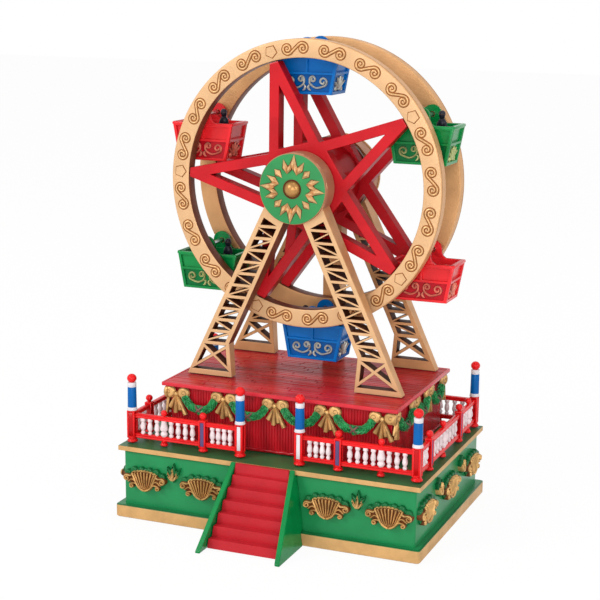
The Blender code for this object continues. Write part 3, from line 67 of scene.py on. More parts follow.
def put_in_scene(name, data):
    """A new object of the scene that shows this data."""
    item = bpy.data.objects.new(name, data)
    bpy.context.scene.collection.objects.link(item)
    return item


back = Vector((math.sin(YAW) * math.cos(PITCH), -math.cos(YAW) * math.cos(PITCH), math.sin(PITCH)))
right = Vector((math.cos(YAW), math.sin(YAW), 0))
up = back.cross(right)
tilted_right = right * math.cos(ROLL) + up * math.sin(ROLL)
tilted_up = up * math.cos(ROLL) - right * math.sin(ROLL)
camera = put_in_scene("camera", bpy.data.cameras.new("camera"))
turn = Matrix((tilted_right, tilted_up, back)).transposed().to_4x4()
camera.matrix_world = Matrix.Translation(CAMERA_PLACE) @ turn
camera.data.lens = LENS
camera.data.shift_x, camera.data.shift_y = LENS_SHIFT
camera.data.clip_start = 0.01
bpy.context.scene.camera = camera
bpy.context.scene.view_settings.view_transform = "Standard"

# %% [markdown]
# ## The studio
# A white sweep: the camera and the gloss on the paint see plain white, while the light that falls on the
# box stays lower, so that pale gold doesn't clip.  One large lamp to the upper left gives the soft shading.

# %% Node tools
def math_node(tree, operation, *values):
    """A math node; each value is a number or the output of another node."""
    node = tree.nodes.new("ShaderNodeMath")
    node.operation = operation
    for socket, value in zip(node.inputs, values):
        if isinstance(value, float):
            socket.default_value = value
        else:
            tree.links.new(value, socket)
    return node.outputs[0]


def white_to_the_eye(tree):
    """A factor of one for the camera's own rays, for reflections and for what is seen through glass."""
    rays = tree.nodes.new("ShaderNodeLightPath").outputs
    seen = math_node(tree, "MAXIMUM", rays["Is Camera Ray"], rays["Is Glossy Ray"])
    return math_node(tree, "MAXIMUM", seen, rays["Is Transmission Ray"])


def mix_surfaces(tree, factor, first, second, output):
    """Mix two shaders into the surface of the output node."""
    mix = tree.nodes.new("ShaderNodeMixShader")
    for socket, value in zip(mix.inputs, (factor, first.outputs[0], second.outputs[0])):
        tree.links.new(value, socket)
    tree.links.new(mix.outputs[0], tree.nodes[output].inputs["Surface"])


# %% Studio
SKY_LIGHT = 0.72
SWEEP_HALF, SWEEP_Z = 3.0, -0.0002
SWEEP_GREY, SWEEP_GLOW = 0.90, 0.94
BOX_MIDDLE = (0.0, 0.0, 0.09)

world = bpy.data.worlds.new("studio")
bpy.context.scene.world = world
world.use_nodes = True
sky = world.node_tree
light, white = sky.nodes["Background"], sky.nodes.new("ShaderNodeBackground")
for node, strength in ((light, SKY_LIGHT), (white, 1.0)):
    node.inputs["Color"].default_value = (1.0, 1.0, 1.0, 1.0)
    node.inputs["Strength"].default_value = strength
mix_surfaces(sky, white_to_the_eye(sky), light, white, "World Output")

sweep_mesh = bpy.data.meshes.new("floor")
sweep_mesh.from_pydata([(x * SWEEP_HALF, y * SWEEP_HALF, SWEEP_Z) for x, y in ((-1, -1), (1, -1), (1, 1), (-1, 1))],
                       [], [(0, 1, 2, 3)])
floor = put_in_scene("floor", sweep_mesh)
sweep_paint = bpy.data.materials.new("studio_floor")
sweep_paint.use_nodes = True
tree = sweep_paint.node_tree
matt, glow = tree.nodes["Principled BSDF"], tree.nodes.new("ShaderNodeEmission")
matt.inputs["Base Color"].default_value = (SWEEP_GREY, SWEEP_GREY, SWEEP_GREY, 1.0)
matt.inputs["Roughness"].default_value = 0.9
glow.inputs["Strength"].default_value = 1.0
mix_surfaces(tree, math_node(tree, "MULTIPLY", white_to_the_eye(tree), SWEEP_GLOW), matt, glow, "Material Output")
sweep_mesh.materials.append(sweep_paint)

for name, place, size, power in (("key_left", (-0.70, -0.90, 0.80), 0.45, 6.8),
                                 ("front_fill", (0.30, -1.15, 0.30), 0.60, 4.0),
                                 ("fill_right", (0.95, -0.45, 0.45), 0.45, 2.0),
                                 ("top_light", (0.05, 0.10, 1.10), 0.45, 1.6)):
    lamp = put_in_scene(name, bpy.data.lights.new(name, "AREA"))
    lamp.data.size, lamp.data.energy = size, power
    lamp.location = place
    lamp.rotation_euler = (Vector(BOX_MIDDLE) - Vector(place)).to_track_quat("-Z", "Y").to_euler()

# %% [markdown]
# ## Paints
# The real box is cast resin and plastic, painted by hand.  Such paint is never one flat colour: it pools a
# little darker in places, its gloss varies, and the surface keeps a faint orange peel.  Each paint below is
# a noise-driven mix of two tones, with a fine bump, so it looks right from any side.

# %% Paint maker
PAINTS = {}


def tone(rgb):
    """A colour as a screen shows it, 0 to 255, turned into what the shader wants."""
    return tuple((c / 255 / 12.92) if c <= 10 else ((c / 255 + 0.055) / 1.055) ** 2.4 for c in rgb)


def noise(tree, vector, size, detail):
    node = tree.nodes.new("ShaderNodeTexNoise")
    node.inputs["Scale"].default_value = size
    node.inputs["Detail"].default_value = detail
    tree.links.new(vector, node.inputs["Vector"])
    return node.outputs["Fac"]


def paint(name, rgb, rough=0.35, metal=0.0, shade=0.80, size=90.0, peel=0.08, peel_size=900.0, coat=0.0,
          stretch=(1.0, 1.0, 1.0), shine=0.20):
    """Two tones of one colour mixed by soft noise, over a faint orange peel."""
    material = PAINTS[name] = bpy.data.materials.new(name)
    material.use_nodes = True
    tree = material.node_tree
    shader = tree.nodes["Principled BSDF"].inputs
    place = tree.nodes.new("ShaderNodeTexCoord")
    scale = tree.nodes.new("ShaderNodeMapping")
    scale.inputs["Scale"].default_value = stretch
    tree.links.new(place.outputs["Object"], scale.inputs["Vector"])
    cloud = noise(tree, scale.outputs[0], size, 5.0)
    ramp = tree.nodes.new("ShaderNodeValToRGB")
    for element, position, factor in zip(ramp.color_ramp.elements, (0.35, 0.62), (shade, 1.0)):
        element.position = position
        element.color = (*(c * factor for c in tone(rgb)), 1.0)
    tree.links.new(cloud, ramp.inputs[0])
    tree.links.new(ramp.outputs[0], shader["Base Color"])
    gloss = tree.nodes.new("ShaderNodeMapRange")
    gloss.inputs["To Min"].default_value = rough * 1.25
    gloss.inputs["To Max"].default_value = rough * 0.80
    tree.links.new(cloud, gloss.inputs["Value"])
    tree.links.new(gloss.outputs[0], shader["Roughness"])
    bump = tree.nodes.new("ShaderNodeBump")
    bump.inputs["Strength"].default_value = peel
    bump.inputs["Distance"].default_value = 0.0006
    tree.links.new(noise(tree, scale.outputs[0], peel_size, 3.0), bump.inputs["Height"])
    tree.links.new(bump.outputs[0], shader["Normal"])
    shader["Metallic"].default_value = metal
    shader["Specular IOR Level"].default_value = shine if metal < 0.5 else 0.50
    shader["Coat Weight"].default_value = coat * 0.3
    shader["Coat Roughness"].default_value = 0.15


# %% [markdown]
# The list of paints follows the photograph: greens for the base and the stair's stringers, antique gold on
# carved work, a paler satin gold on the wheel and the A-frames, with deeper golds and browns on their side
# faces, openings and rear parts as painted shade, and bright enamels for the fence, the posts and the gondolas.

# %% Greens, golds and browns
SATIN = {"peel": 0.18, "peel_size": 1500}
paint("wall_green", (28, 132, 76), 0.30, shade=0.86, coat=0.25)
# The leaves' own dark green, which also paints shade: along the plinth's top edge, the mound behind each shell and the
# garland's core.
paint("dark_green_and_shade", (14, 100, 52), 0.30, shade=0.75, coat=0.25)
paint("terrace_green", (48, 104, 62), 0.36, shade=0.72, size=60, coat=0.15)
paint("stringer_green", (0, 126, 62), 0.20, coat=0.4, shine=0.14)
paint("leaf_green", (44, 152, 84), 0.24, shade=0.42, size=420, coat=0.4)
paint("cap_green", (50, 138, 78), 0.32, shade=0.84, coat=0.2)
paint("antique_gold", (222, 176, 112), 0.34, 0.36, shade=0.60, size=320, peel=0.15)
paint("edge_gold", (204, 160, 104), 0.44, 0.25, shade=0.84, size=160, peel=0.22, peel_size=1600)
paint("ball_gold", (186, 136, 76), 0.30, 0.55, shade=0.75, size=300)
paint("satin_gold", (216, 173, 128), 0.40, 0.30, shade=0.90, size=120, **SATIN)
# The deeper golds below are painted shade: on the rear parts, on the rims' and the legs' side faces and on the hub
# drum's side.
paint("rear_shade_gold", (208, 158, 108), 0.42, 0.30, shade=0.86, size=110, **SATIN)
paint("rim_side_shade", (214, 162, 110), 0.42, 0.30, shade=0.86, size=120, **SATIN)
paint("leg_side_shade", (206, 156, 108), 0.42, 0.25, size=140, **SATIN)
paint("drum_shade_rose", (182, 128, 96), 0.42, 0.30, shade=0.82, size=140, **SATIN)
paint("scroll_gold", (222, 176, 124), 0.36, 0.40, size=500, peel=0.12)
# A brown for painted shade round the rim's raised scrolls and pentagons.
paint("scroll_shade_brown", (146, 88, 38), 0.44, 0.10, shade=0.70, size=500)
# A dark brown for painted shade on inner sides: the rims' inner side and the legs' inner sides above the knee.
paint("inner_shade_brown", (122, 70, 48), 0.40, 0.10, shade=0.70, size=120, shine=0.10)
# A brown for the rims' real joint grooves, and for painted shade between the shells' flutes and in the bows' creases.
paint("joint_and_shade_brown", (112, 62, 22), 0.46, 0.06, shade=0.62, size=500)
# A dark brown for painted shade and shadow: inside the lattice openings, under the cap's kites and round the ball's
# foot.
paint("shadow_brown", (92, 46, 28), 0.46, 0.05, shade=0.60, size=160, shine=0.06)

# %% Reds, whites and blues
paint("star_red", (190, 30, 38), 0.26, shade=0.84, coat=0.30, shine=0.10)
# A darker red for the stars' side faces and the hub drum: painted shade.
paint("star_side_shade", (170, 8, 18), 0.30, shine=0.04)
paint("stair_red", (182, 32, 42), 0.34, shade=0.86, size=70, coat=0.15)
paint("fence_red", (226, 22, 26), 0.24, shade=0.84, coat=0.35)
# A darker red for the sunk panels and cores of the posts: painted shade.
paint("fence_shade_red", (188, 2, 10), 0.28, coat=0.30)
paint("baluster_white", (234, 214, 216), 0.36, size=240)
paint("band_white", (216, 210, 214), 0.30, shade=0.90, coat=0.2)
paint("newel_violet", (92, 76, 120), 0.40)
paint("tube_blue", (0, 92, 164), 0.26, shade=0.88, coat=0.3, shine=0.12)
paint("house_red", (188, 22, 34), 0.24, shade=0.62, size=240, coat=0.4, stretch=(1.0, 1.0, 0.25), shine=0.12)
paint("skirt_red", (184, 20, 32), 0.16, shade=0.70, size=380, peel=0.5, peel_size=500, coat=0.5)
paint("roof_wood", (196, 34, 42), 0.30, shade=0.56, size=150, peel=0.45, peel_size=500, coat=0.25,
      stretch=(0.16, 1.0, 1.0), shine=0.08)
paint("roof_groove", (92, 14, 22), 0.45, shade=0.70, size=200)
paint("roof_edge", (204, 44, 56), 0.26, shade=0.84, coat=0.3)

# %% Gondolas, riders and the movement
paint("gondola_blue", (0, 108, 190), 0.22, coat=0.4, shine=0.12)
paint("gondola_red", (228, 38, 44), 0.22, shade=0.84, coat=0.4)
paint("gondola_green", (6, 134, 64), 0.22, coat=0.4)
# Darker tones of the tubs for the sunk lower panels, and dark lines round the curls and leaves: both painted shade.
for colour, shaded_panel_rgb, outline_rgb in (("blue", (0, 84, 156), (6, 24, 56)), ("red", (184, 18, 34), (96, 4, 18)),
                                       ("green", (2, 110, 54), (2, 50, 30))):
    paint("panel_" + colour, shaded_panel_rgb, 0.24, shade=0.76, coat=0.3, shine=0.12)
    paint("outline_" + colour, outline_rgb, 0.40, shade=0.70)
paint("scroll_silver", (204, 206, 198), 0.32, 0.40, shade=0.66, size=500)
paint("scroll_pale", (190, 196, 132), 0.36, 0.30, shade=0.62, size=500)
paint("scroll_rose", (232, 132, 110), 0.34, 0.25, shade=0.62, size=500)
paint("rider_dark", (34, 36, 48), 0.34, shade=0.6, size=500, coat=0.2)
paint("rider_brown", (84, 58, 56), 0.38, shade=0.6, size=500)
paint("ribbon_dusk", (128, 92, 84), 0.42, 0.1, shade=0.65, size=500)
paint("steel", (196, 196, 200), 0.26, 1.0, shade=0.85, size=300, peel=0.03)
paint("brass", (208, 172, 98), 0.30, 1.0, shade=0.82, size=200, peel=0.04)
paint("black_cover", (38, 38, 40), 0.55, size=200, peel=0.35)
paint("brown_plastic", (96, 56, 40), 0.40)
print(len(PAINTS), "paints")

# %% [markdown]
# ## Painting the solids that are kept
# Where the CAD solid already has the real shape, it only gets a paint, and a small rounded edge, because
# moulded plastic never has a knife edge.  The imported mesh is welded first, so that the bevel finds its
# edges.  A face that points sideways can take another paint than the front: the deeper gold on the legs' sides,
# the brown inside the lattice and the darker red on the stars' sides are painted shade.

# %% Paint and soften
def coat(node, names, choose=None):
    """Paint a CAD node; choose gives the number of a face's paint from its normal and its middle."""
    mesh = nodes[node].data
    mesh.materials.clear()
    for name in names:
        mesh.materials.append(PAINTS[name])
    if choose:
        for face in mesh.polygons:
            face.material_index = choose(face.normal, face.center)


def soften(node, width, segments=2):
    """Round a CAD node's edges a little."""
    weld = nodes[node].modifiers.new("weld", "WELD")
    weld.merge_threshold = 0.00001
    bevel = nodes[node].modifiers.new("edges", "BEVEL")
    bevel.width = width
    bevel.segments = segments
    bevel.limit_method = "ANGLE"
    bevel.angle_limit = math.radians(38)


def flat_or_side(axis):
    """Paint 0 on the flat faces across an axis, and paint 1 on the other faces."""
    return lambda normal, spot: 0 if abs(normal[axis]) > 0.9 else 1


# %% The A-frames' sides
HUB_FOOT_Z, FRAME_FOOT_Z, KNEE_Z, LEG_TOP_Z = 0.1225, 0.0555, 0.0695, 0.1255
OUTER_EDGE = ((FRAME_FOOT_Z, 0.0467), (LEG_TOP_Z, 0.0133))
INNER_EDGE = ((FRAME_FOOT_Z, 0.0267), (KNEE_Z, 0.0279), (LEG_TOP_Z, 0.0022))


def on_edge(edge, spot):
    """Whether a point of a leg lies on the leg's outer or inner edge."""
    heights, distances = zip(*edge)
    return abs(abs(spot.x) - np.interp(spot.z, heights, distances)) < 0.0004


def frame_side(normal, spot):
    """The flat faces are gold; painted shade gives the legs' long sides a deeper gold, the openings brown, the inner
    sides above the knee a dark brown and the hub's side a darker rose gold.
    """
    if abs(normal.y) > 0.9:
        return 0
    if spot.z > HUB_FOOT_Z:
        return 3
    # The legs' inner sides above the knee: dark brown painted shade.
    if on_edge(INNER_EDGE, spot) and spot.z > KNEE_Z:
        return 4
    return 1 if on_edge(OUTER_EDGE, spot) or on_edge(INNER_EDGE, spot) else 2


# %% Paint the kept solids
# The rear frame takes a deeper gold than the front one: painted shade.
for node, gold in (("front_frame", "satin_gold"), ("rear_frame", "rear_shade_gold")):
    coat(node, (gold, "leg_side_shade", "shadow_brown", "drum_shade_rose", "inner_shade_brown"), frame_side)
coat("terrace_slab", ("terrace_green", "edge_gold"), flat_or_side(2))
# The stars' side faces take the darker red: painted shade.
for node in ("front_star", "rear_star"):
    coat(node, ("star_red", "star_side_shade"), flat_or_side(1))
# The hub drum takes the stars' darker side red, and the drive column the deeper rear gold: both painted shade.
for name, group in {"star_side_shade": ["hub_drum"], "stair_red": ["stair_steps"], "rear_shade_gold": ["drive_column"],
                    "stringer_green": ["left_stringer", "right_stringer"], "black_cover": ["bottom_cover"],
                    "steel": ["axle", "drive_shaft", "comb"] + [f"cover_screw_{n}" for n in range(1, 5)]
                    + [f"gondola_rod_{n}" for n in range(1, 7)],
                    "brass": ["front_bush", "rear_bush", "music_cylinder", "spring_barrel", "winding_key",
                              "governor", "movement_bedplate"], "brown_plastic": ["crown_gear"]}.items():
    for node in group:
        coat(node, (name,))
for node, width, segments in (("front_frame", 0.00016, 1), ("rear_frame", 0.00016, 1), ("front_star", 0.0004, 2),
                              ("rear_star", 0.0004, 2), ("stair_steps", 0.00025, 2), ("left_stringer", 0.0004, 3),
                              ("right_stringer", 0.0004, 3), ("winding_key", 0.0003, 2),
                              ("drive_column", 0.0003, 2)):
    soften(node, width, segments)

# %% [markdown]
# ## A few workshop tools
# Every finer piece below is gathered point by point, because carving, turning and casting are easiest to
# describe by rule: a turned profile, a bead that follows a path, a slab with a rounded edge.  The gatherer
# keeps a paint number for each face, so one piece can carry several paints, as the real one does.

# %% Gatherer
HERE = Matrix.Identity(4)


class Piece:
    """Points, faces and paint numbers of one piece, gathered before it becomes a mesh."""

    def __init__(self, *paints):
        self.paints = paints
        self.points, self.faces, self.marks = [], [], []

    def add(self, shape, paint_name, place=HERE):
        """Take in a (points, faces) shape, moved to its place by a 4 x 4 matrix."""
        points, faces = shape
        start = len(self.points)
        self.points += [place @ Vector(p) for p in points]
        self.faces += [tuple(start + i for i in face) for face in faces]
        self.marks += [self.paints.index(paint_name)] * len(faces)

    def build(self, name, body, replaces=(), sharp=40.0):
        """Make the mesh, shade it smooth up to an angle, and let it ride on its body."""
        mesh = bpy.data.meshes.new(name)
        mesh.from_pydata([tuple(p) for p in self.points], [], self.faces)
        for paint_name in self.paints:
            mesh.materials.append(PAINTS[paint_name])
        mesh.polygons.foreach_set("material_index", self.marks)
        mesh.shade_smooth()
        mesh.set_sharp_from_angle(angle=math.radians(sharp))
        item = put_in_scene(name, mesh)
        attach(item, body)
        if replaces:
            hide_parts(*replaces)
        print(name, len(self.faces), "faces")


def at(x=0.0, y=0.0, z=0.0, turn=HERE):
    """A place in the frame, with a turn before the move."""
    return Matrix.Translation((x, y, z)) @ turn


def facing(origin, across, upward, outward):
    """A place given by where the local X, Y and Z point."""
    return Matrix.Translation(origin) @ Matrix((across, upward, outward)).transposed().to_4x4()


# %% Paths
def mm(points):
    """Points in millimetres, turned into metres."""
    return [tuple(c * 0.001 for c in point) for point in points]


def smooth_path(corners, steps=6):
    """A soft curve through the given points, in the plane or in space."""
    corners = [Vector(c) for c in corners]
    path = []
    for i in range(len(corners) - 1):
        a, b, c, d = corners[max(i - 1, 0)], corners[i], corners[i + 1], corners[min(i + 2, len(corners) - 1)]
        for t in [k / steps for k in range(steps)]:
            path.append(tuple(0.5 * ((2 * b) + (c - a) * t + (2 * a - 5 * b + 4 * c - d) * t * t
                                     + (3 * b - a - 3 * c + d) * t ** 3)))
    return path + [tuple(corners[-1])]


def spiral(centre, start_radius, end_radius, start, end, count):
    """Points on a spiral or an arc round a centre; angles in degrees."""
    path = []
    for t in [i / (count - 1) for i in range(count)]:
        angle = math.radians(start + (end - start) * t)
        radius = start_radius + (end_radius - start_radius) * t
        path.append((centre[0] + radius * math.cos(angle), centre[1] + radius * math.sin(angle)))
    return path


def oval(centre, wide, tall, count):
    """A closed loop round a centre, with its half-width and its half-height."""
    return [(centre[0] + wide * math.cos(a), centre[1] + tall * math.sin(a))
            for a in [math.tau * k / count for k in range(count)]]


def flipped(path, side=-1):
    """The mirror image of a path for side -1, the path itself for side 1."""
    return [(side * u, *rest) for u, *rest in path]


def signed_area(loop):
    return sum(loop[i - 1][0] * loop[i][1] - loop[i][0] * loop[i - 1][1] for i in range(len(loop)))


def anticlockwise(loop):
    return loop if signed_area(loop) > 0 else loop[::-1]


def rectangle(x, y):
    return [(x[0], y[0]), (x[1], y[0]), (x[1], y[1]), (x[0], y[1])]


def rounded_rectangle(x, y, radius, steps=3):
    """A rectangle with round corners, anticlockwise."""
    corners = ((x[1] - radius, y[0] + radius, -90), (x[1] - radius, y[1] - radius, 0),
               (x[0] + radius, y[1] - radius, 90), (x[0] + radius, y[0] + radius, 180))
    return [point for u, v, start in corners for point in spiral((u, v), radius, radius, start, start + 90, steps + 1)]


# %% Shapes
def band(a, b, count):
    """The faces between two loops of as many points, which start at points a and b."""
    return [(a + i, a + (i + 1) % count, b + (i + 1) % count, b + i) for i in range(count)]


def stacked(loops, closed=False):
    """Loops of points in space joined one to the next, and the last to the first where the section is closed."""
    count = len(loops[0])
    points = [point for loop in loops for point in loop]
    starts = [n * count for n in range(len(loops))] + [0] * closed
    faces = [face for a, b in zip(starts, starts[1:]) for face in band(a, b, count)]
    if not closed:
        faces += [tuple(range(count - 1, -1, -1)), tuple(range(len(points) - count, len(points)))]
    return points, faces


def turned(profile, count=24):
    """A turned shape from (radius, height) pairs, lowest first, round the local Z."""
    points, faces, rings = [], [], []
    for radius, height in profile:
        at_axis = radius <= 1e-9
        rings.append([len(points)] * count if at_axis else range(len(points), len(points) + count))
        ring = [(0.0, 0.0)] if at_axis else oval((0.0, 0.0), radius, radius, count)
        points += [(u, v, height) for u, v in ring]
    for low, high in zip(rings, rings[1:]):
        for i in range(count):
            j = (i + 1) % count
            corners = list(dict.fromkeys((low[i], low[j], high[j], high[i])))
            if len(corners) > 2:
                faces.append(tuple(corners))
    for ring, order in ((rings[0], -1), (rings[-1], 1)):
        if len(set(ring)) > 1:
            faces.append(tuple(ring)[::order])
    return points, faces


def inset_loop(outline, amount):
    """Move every corner of a loop inwards along the halved angle between its edges."""
    side = 1.0 if signed_area(outline) > 0 else -1.0
    moved = []
    for i, corner in enumerate(outline):
        a, b, c = Vector(outline[i - 1]), Vector(corner), Vector(outline[(i + 1) % len(outline)])
        into, out = (b - a).normalized(), (c - b).normalized()
        normal = Vector((-into.y - out.y, into.x + out.x)) * side
        if normal.length < 1e-6:
            moved.append(tuple(b))
            continue
        normal.normalize()
        spread = max(0.35, normal.dot(Vector((-into.y, into.x)) * side))
        moved.append(tuple(b + normal * (amount / spread)))
    return moved


def raised_loops(outline, low, high, edge, steps=2, back_edge=False, side=1):
    """The loops of an outline raised from low to high, drawn in where its edges are rounded."""
    turns = [math.pi / 2 * k / steps for k in range(steps + 1)] if edge else []
    below = [(edge * (1 - math.sin(a)), low + edge * (1 - math.cos(a))) for a in turns] if back_edge else []
    above = [(edge * (1 - math.cos(a)), high - edge * (1 - math.sin(a))) for a in turns]
    levels = (below or [(0.0, low)]) + (above or [(0.0, high)])
    return [[(u, v, z) for u, v in (inset_loop(outline, inset * side) if inset > 1e-9 else outline)]
            for inset, z in levels]


def slab(outline, low, high, edge=0.0, steps=2, back_edge=False):
    """An outline raised from low to high along the local Z, with its upper edge rounded."""
    return stacked(raised_loops(anticlockwise(outline), low, high, edge, steps, back_edge))


def block(x, y, z, edge=0.0, steps=2):
    """A box between three pairs of values, rounded along its upper and lower edges."""
    outline = rounded_rectangle(x, y, edge) if edge else rectangle(x, y)
    return slab(outline, z[0], z[1], edge, steps, back_edge=True)


def pierced_slab(outer, openings, low, high, edge, outer_edge=None, steps=2):
    """A plate with openings raised from low to high; its flat sides are filled by tessellation."""
    points, faces, tops, feet = [], [], [], []
    outer_edge = edge if outer_edge is None else outer_edge
    for loop, side, soft in [(outer, 1, outer_edge)] + [(loop, -1, edge) for loop in openings]:
        loop = anticlockwise(loop)[::side]
        loops = raised_loops(loop, low, high, soft, steps, side=side)
        starts = [len(points) + n * len(loop) for n in range(len(loops))]
        points += [point for level in loops for point in level]
        for a, b in zip(starts, starts[1:]):
            faces += band(a, b, len(loop))
        feet.append(range(starts[0], starts[0] + len(loop)))
        tops.append(range(starts[-1], starts[-1] + len(loop)))
    for rings, up in ((tops, True), (feet, False)):
        order = [i for ring in rings for i in ring]
        for triangle in tessellate_polygon([[Vector((*points[i][:2], 0)) for i in ring] for ring in rings]):
            corners = [order[i] for i in triangle]
            if (signed_area([points[i] for i in corners]) > 0) != up:
                corners.reverse()
            faces.append(tuple(corners))
    return points, faces


def fold(path, widths, heights, base, profile):
    """A half-round ridge on the local XY plane with its own width and height at each point."""
    points, last = [], len(path) - 1
    for i, here in enumerate(path):
        along = (Vector(path[min(i + 1, last)]) - Vector(path[max(i - 1, 0)])).normalized()
        side = Vector((-along.y, along.x))
        for angle in [math.pi * k / (profile - 1) for k in range(profile)]:
            offset = side * (math.cos(angle) * widths[i] / 2)
            points.append((here[0] + offset.x, here[1] + offset.y, base + math.sin(angle) * heights[i]))
    faces = [face[::-1] for i in range(last) for face in band(i * profile, (i + 1) * profile, profile)]
    faces += [tuple(range(profile)), tuple(range(len(points) - 1, last * profile - 1, -1))]
    return points, faces


def bead(path, width, height, base=0.0, taper=0.15, profile=5, shares=None):
    """A half-round bead on the local XY plane that follows a path; its ends taper, or shares give its size."""
    last = len(path) - 1
    shares = shares or [min(1.0, min(i, last - i) / last / taper * 0.7 + 0.3) for i in range(last + 1)]
    return fold(path, [width * s for s in shares], [height * s for s in shares], base, profile)


def tube(path, radii, sides=8, flat=1.0):
    """A tube along a path in space; flat below one squashes it upwards of its own plane."""
    loops, last = [], len(path) - 1
    radii = radii if isinstance(radii, list) else [radii] * len(path)
    normal = Vector((0.0, 0.0, 1.0))
    for i, here in enumerate(path):
        along = (Vector(path[min(i + 1, last)]) - Vector(path[max(i - 1, 0)])).normalized()
        normal = (normal - along * normal.dot(along)).normalized()
        across = along.cross(normal)
        loops.append([Vector(here) + across * u + normal * v * flat
                      for u, v in oval((0.0, 0.0), radii[i], radii[i], sides)])
    return stacked(loops)


# %% [markdown]
# ## The base box
# The base is a green box on a gold-edged plinth.  Its solid is plain, so a new box with softly rounded
# edges takes its place: walls, plinth and the open inside, with the same sizes.  The plinth's upright faces
# are gold and its top is green like the walls, with a thin darker green line along the edge as painted shade.

# %% Base walls and plinth
PLINTH, WALL_OUT, WALL_IN = (0.0650, 0.0449), (0.0622, 0.0421), (0.0600, 0.0399)
PLINTH_TOP, BASE_TOP = 0.0054, 0.0277
SOFT = 0.0004
TOP_BORDER = 0.0007
KEY_X, KEY_Z = -0.014893, 0.0156


def ring_wall(outer, corner, levels):
    """A four-sided wall: rounded corners outside, square inside, with its outside drawn in at each level."""
    loops = [[(u, v, z) for u, v in rounded_rectangle((inset - outer[0], outer[0] - inset),
                                                      (inset - outer[1], outer[1] - inset), corner)]
             for inset, z in levels]
    count = len(loops[0])
    square = rectangle((-WALL_IN[0], WALL_IN[0]), (-WALL_IN[1], WALL_IN[1]))
    square = square[1:] + square[:1]
    for z in (levels[-1][1], levels[0][1]):
        loops.append([(*square[i * 4 // count], z) for i in range(count)])
    return merged(*stacked(loops, closed=True))


def merged(points, faces):
    """Join points that coincide and drop the faces that this closes up."""
    index, lookup = {}, []
    for point in points:
        lookup.append(index.setdefault(tuple(round(c * 1e7) for c in point), len(index)))
    kept = {number: point for number, point in reversed(list(zip(lookup, points)))}
    clean = []
    for face in faces:
        corners = [lookup[i] for i in face]
        corners = [c for n, c in enumerate(corners) if c != corners[n - 1]]
        if len(set(corners)) > 2:
            clean.append(tuple(corners))
    return [kept[number] for number in range(len(index))], clean


base = Piece("wall_green", "edge_gold", "dark_green_and_shade")
for outer, corner, levels, name in (
        (WALL_OUT, 0.0010, [(0.0, PLINTH_TOP), (0.0, BASE_TOP - SOFT), (SOFT, BASE_TOP)], "wall_green"),
        (PLINTH, 0.0012, [(SOFT, 0.0), (0.0, SOFT), (0.0, PLINTH_TOP - SOFT)], "edge_gold"),
        # The plinth's rounded top edge in the darker green: painted shade along the edge.
        (PLINTH, 0.0012, [(0.0, PLINTH_TOP - SOFT), (SOFT * 0.3, PLINTH_TOP - SOFT * 0.3),
                          (SOFT, PLINTH_TOP - 0.00002)], "dark_green_and_shade"),
        ([side - TOP_BORDER for side in PLINTH], 0.0008, [(0.0, PLINTH_TOP - SOFT), (0.0, PLINTH_TOP)],
         "wall_green")):
    base.add(ring_wall(outer, corner, levels), name)
base.add(turned(mm([(0, 0), (4.0, 0), (4.0, 0.6), (3.4, 1.0), (0, 1.0)]), 28), "edge_gold",
         facing((KEY_X, WALL_OUT[1] - 0.0002, KEY_Z), (1, 0, 0), (0, 0, 1), (0, 1, 0)))
base.build("base_box", "base", ("base_shell",))

# %% [markdown]
# ## Carved shells and buds
# Each wall carries cast scallop shells with curled ends, and small buds between them.  A shell could be
# sculpted, but a rule gives it more cleanly: dark green leaves stand up behind a brown field, and gold beads
# on the field make the flutes, which narrow towards the foot of the shell, its rim, the arms and four curls.
# The brown field, the brown lines under the beads and a dark green mound under the whole shell are painted
# shade and painted shadow.

# %% Leaves and flutes
RELIEF = 0.0030
SUNK = -0.0004
FIELD = RELIEF - 0.0012
BEAD_FOOT = RELIEF - 0.0013
BOWL = mm([(3.4, 5.2), (2.2, 4.8), (0.8, 4.1), (-0.8, 3.5), (-2.2, 2.7), (-3.2, 1.7), (-3.7, 0.7)])
FLUTE_STEP = 0.285


def petal(root, tip, width, bend=0.0, steps=6):
    """The outline of a pointed leaf from its root to its tip."""
    root, tip = Vector(root), Vector(tip)
    side = Vector((root.y - tip.y, tip.x - root.x)).normalized()
    rest, left = [], []
    for share in [k / steps for k in range(steps + 1)]:
        spine = root.lerp(tip, share) + side * (bend * math.sin(math.pi * share))
        half = width / 2 * (0.45 + 0.55 * math.sin(math.pi * min(1.0, 0.10 + 0.9 * share))) * (1 - share ** 3)
        rest.append(tuple(spine - side * half))
        left.append(tuple(spine + side * half))
    return rest + left[-2::-1]


def flute_path(share):
    """A flute of the shell: it keeps the same share of the bowl's half-width all the way down."""
    lift = 0.0004 - 0.0010 * share * share
    return smooth_path([(share * half, v + lift * (n == 0)) for n, (v, half) in enumerate(BOWL)], 3)


# %% One shell
MOUND_SHADOW = [(u * 1.10, v * 1.10 + 0.0002) for u, v in mm([(0, -3.9), (3.0, -3.0), (6.0, -3.2), (7.8, -1.0), (8.6, 1.4),
                                                       (6.8, 3.0), (4.0, 4.0), (0, 4.3)])]
BOWL_HALF = [(half, v) for v, half in BOWL][::-1] + mm([(3.4, 4.0), (1.7, 4.2), (0, 4.3)])
LOBES = mm([(1.8, 4.0, 1.5), (4.9, 3.7, 1.6), (7.7, 2.2, 1.6)])
PADS = mm([(8.1, 0.6, 1.50), (5.8, -2.5, 1.15)])
LINK = mm([(3.6, -1.6), (7.8, -1.0), (8.0, 1.8), (4.8, 2.8)])
RIM_PATH = smooth_path([(half + 0.0003, v - 0.0001) for v, half in BOWL] + [(0.0, -0.0042)], 3)
ARM = smooth_path(mm([(5.0, 2.6), (6.0, 1.7), (7.0, 1.7)]), 3)[:-1] + spiral((0.0080, 0.0006), 0.00125, 0.00030, 95,
                                                                             -420, 18)
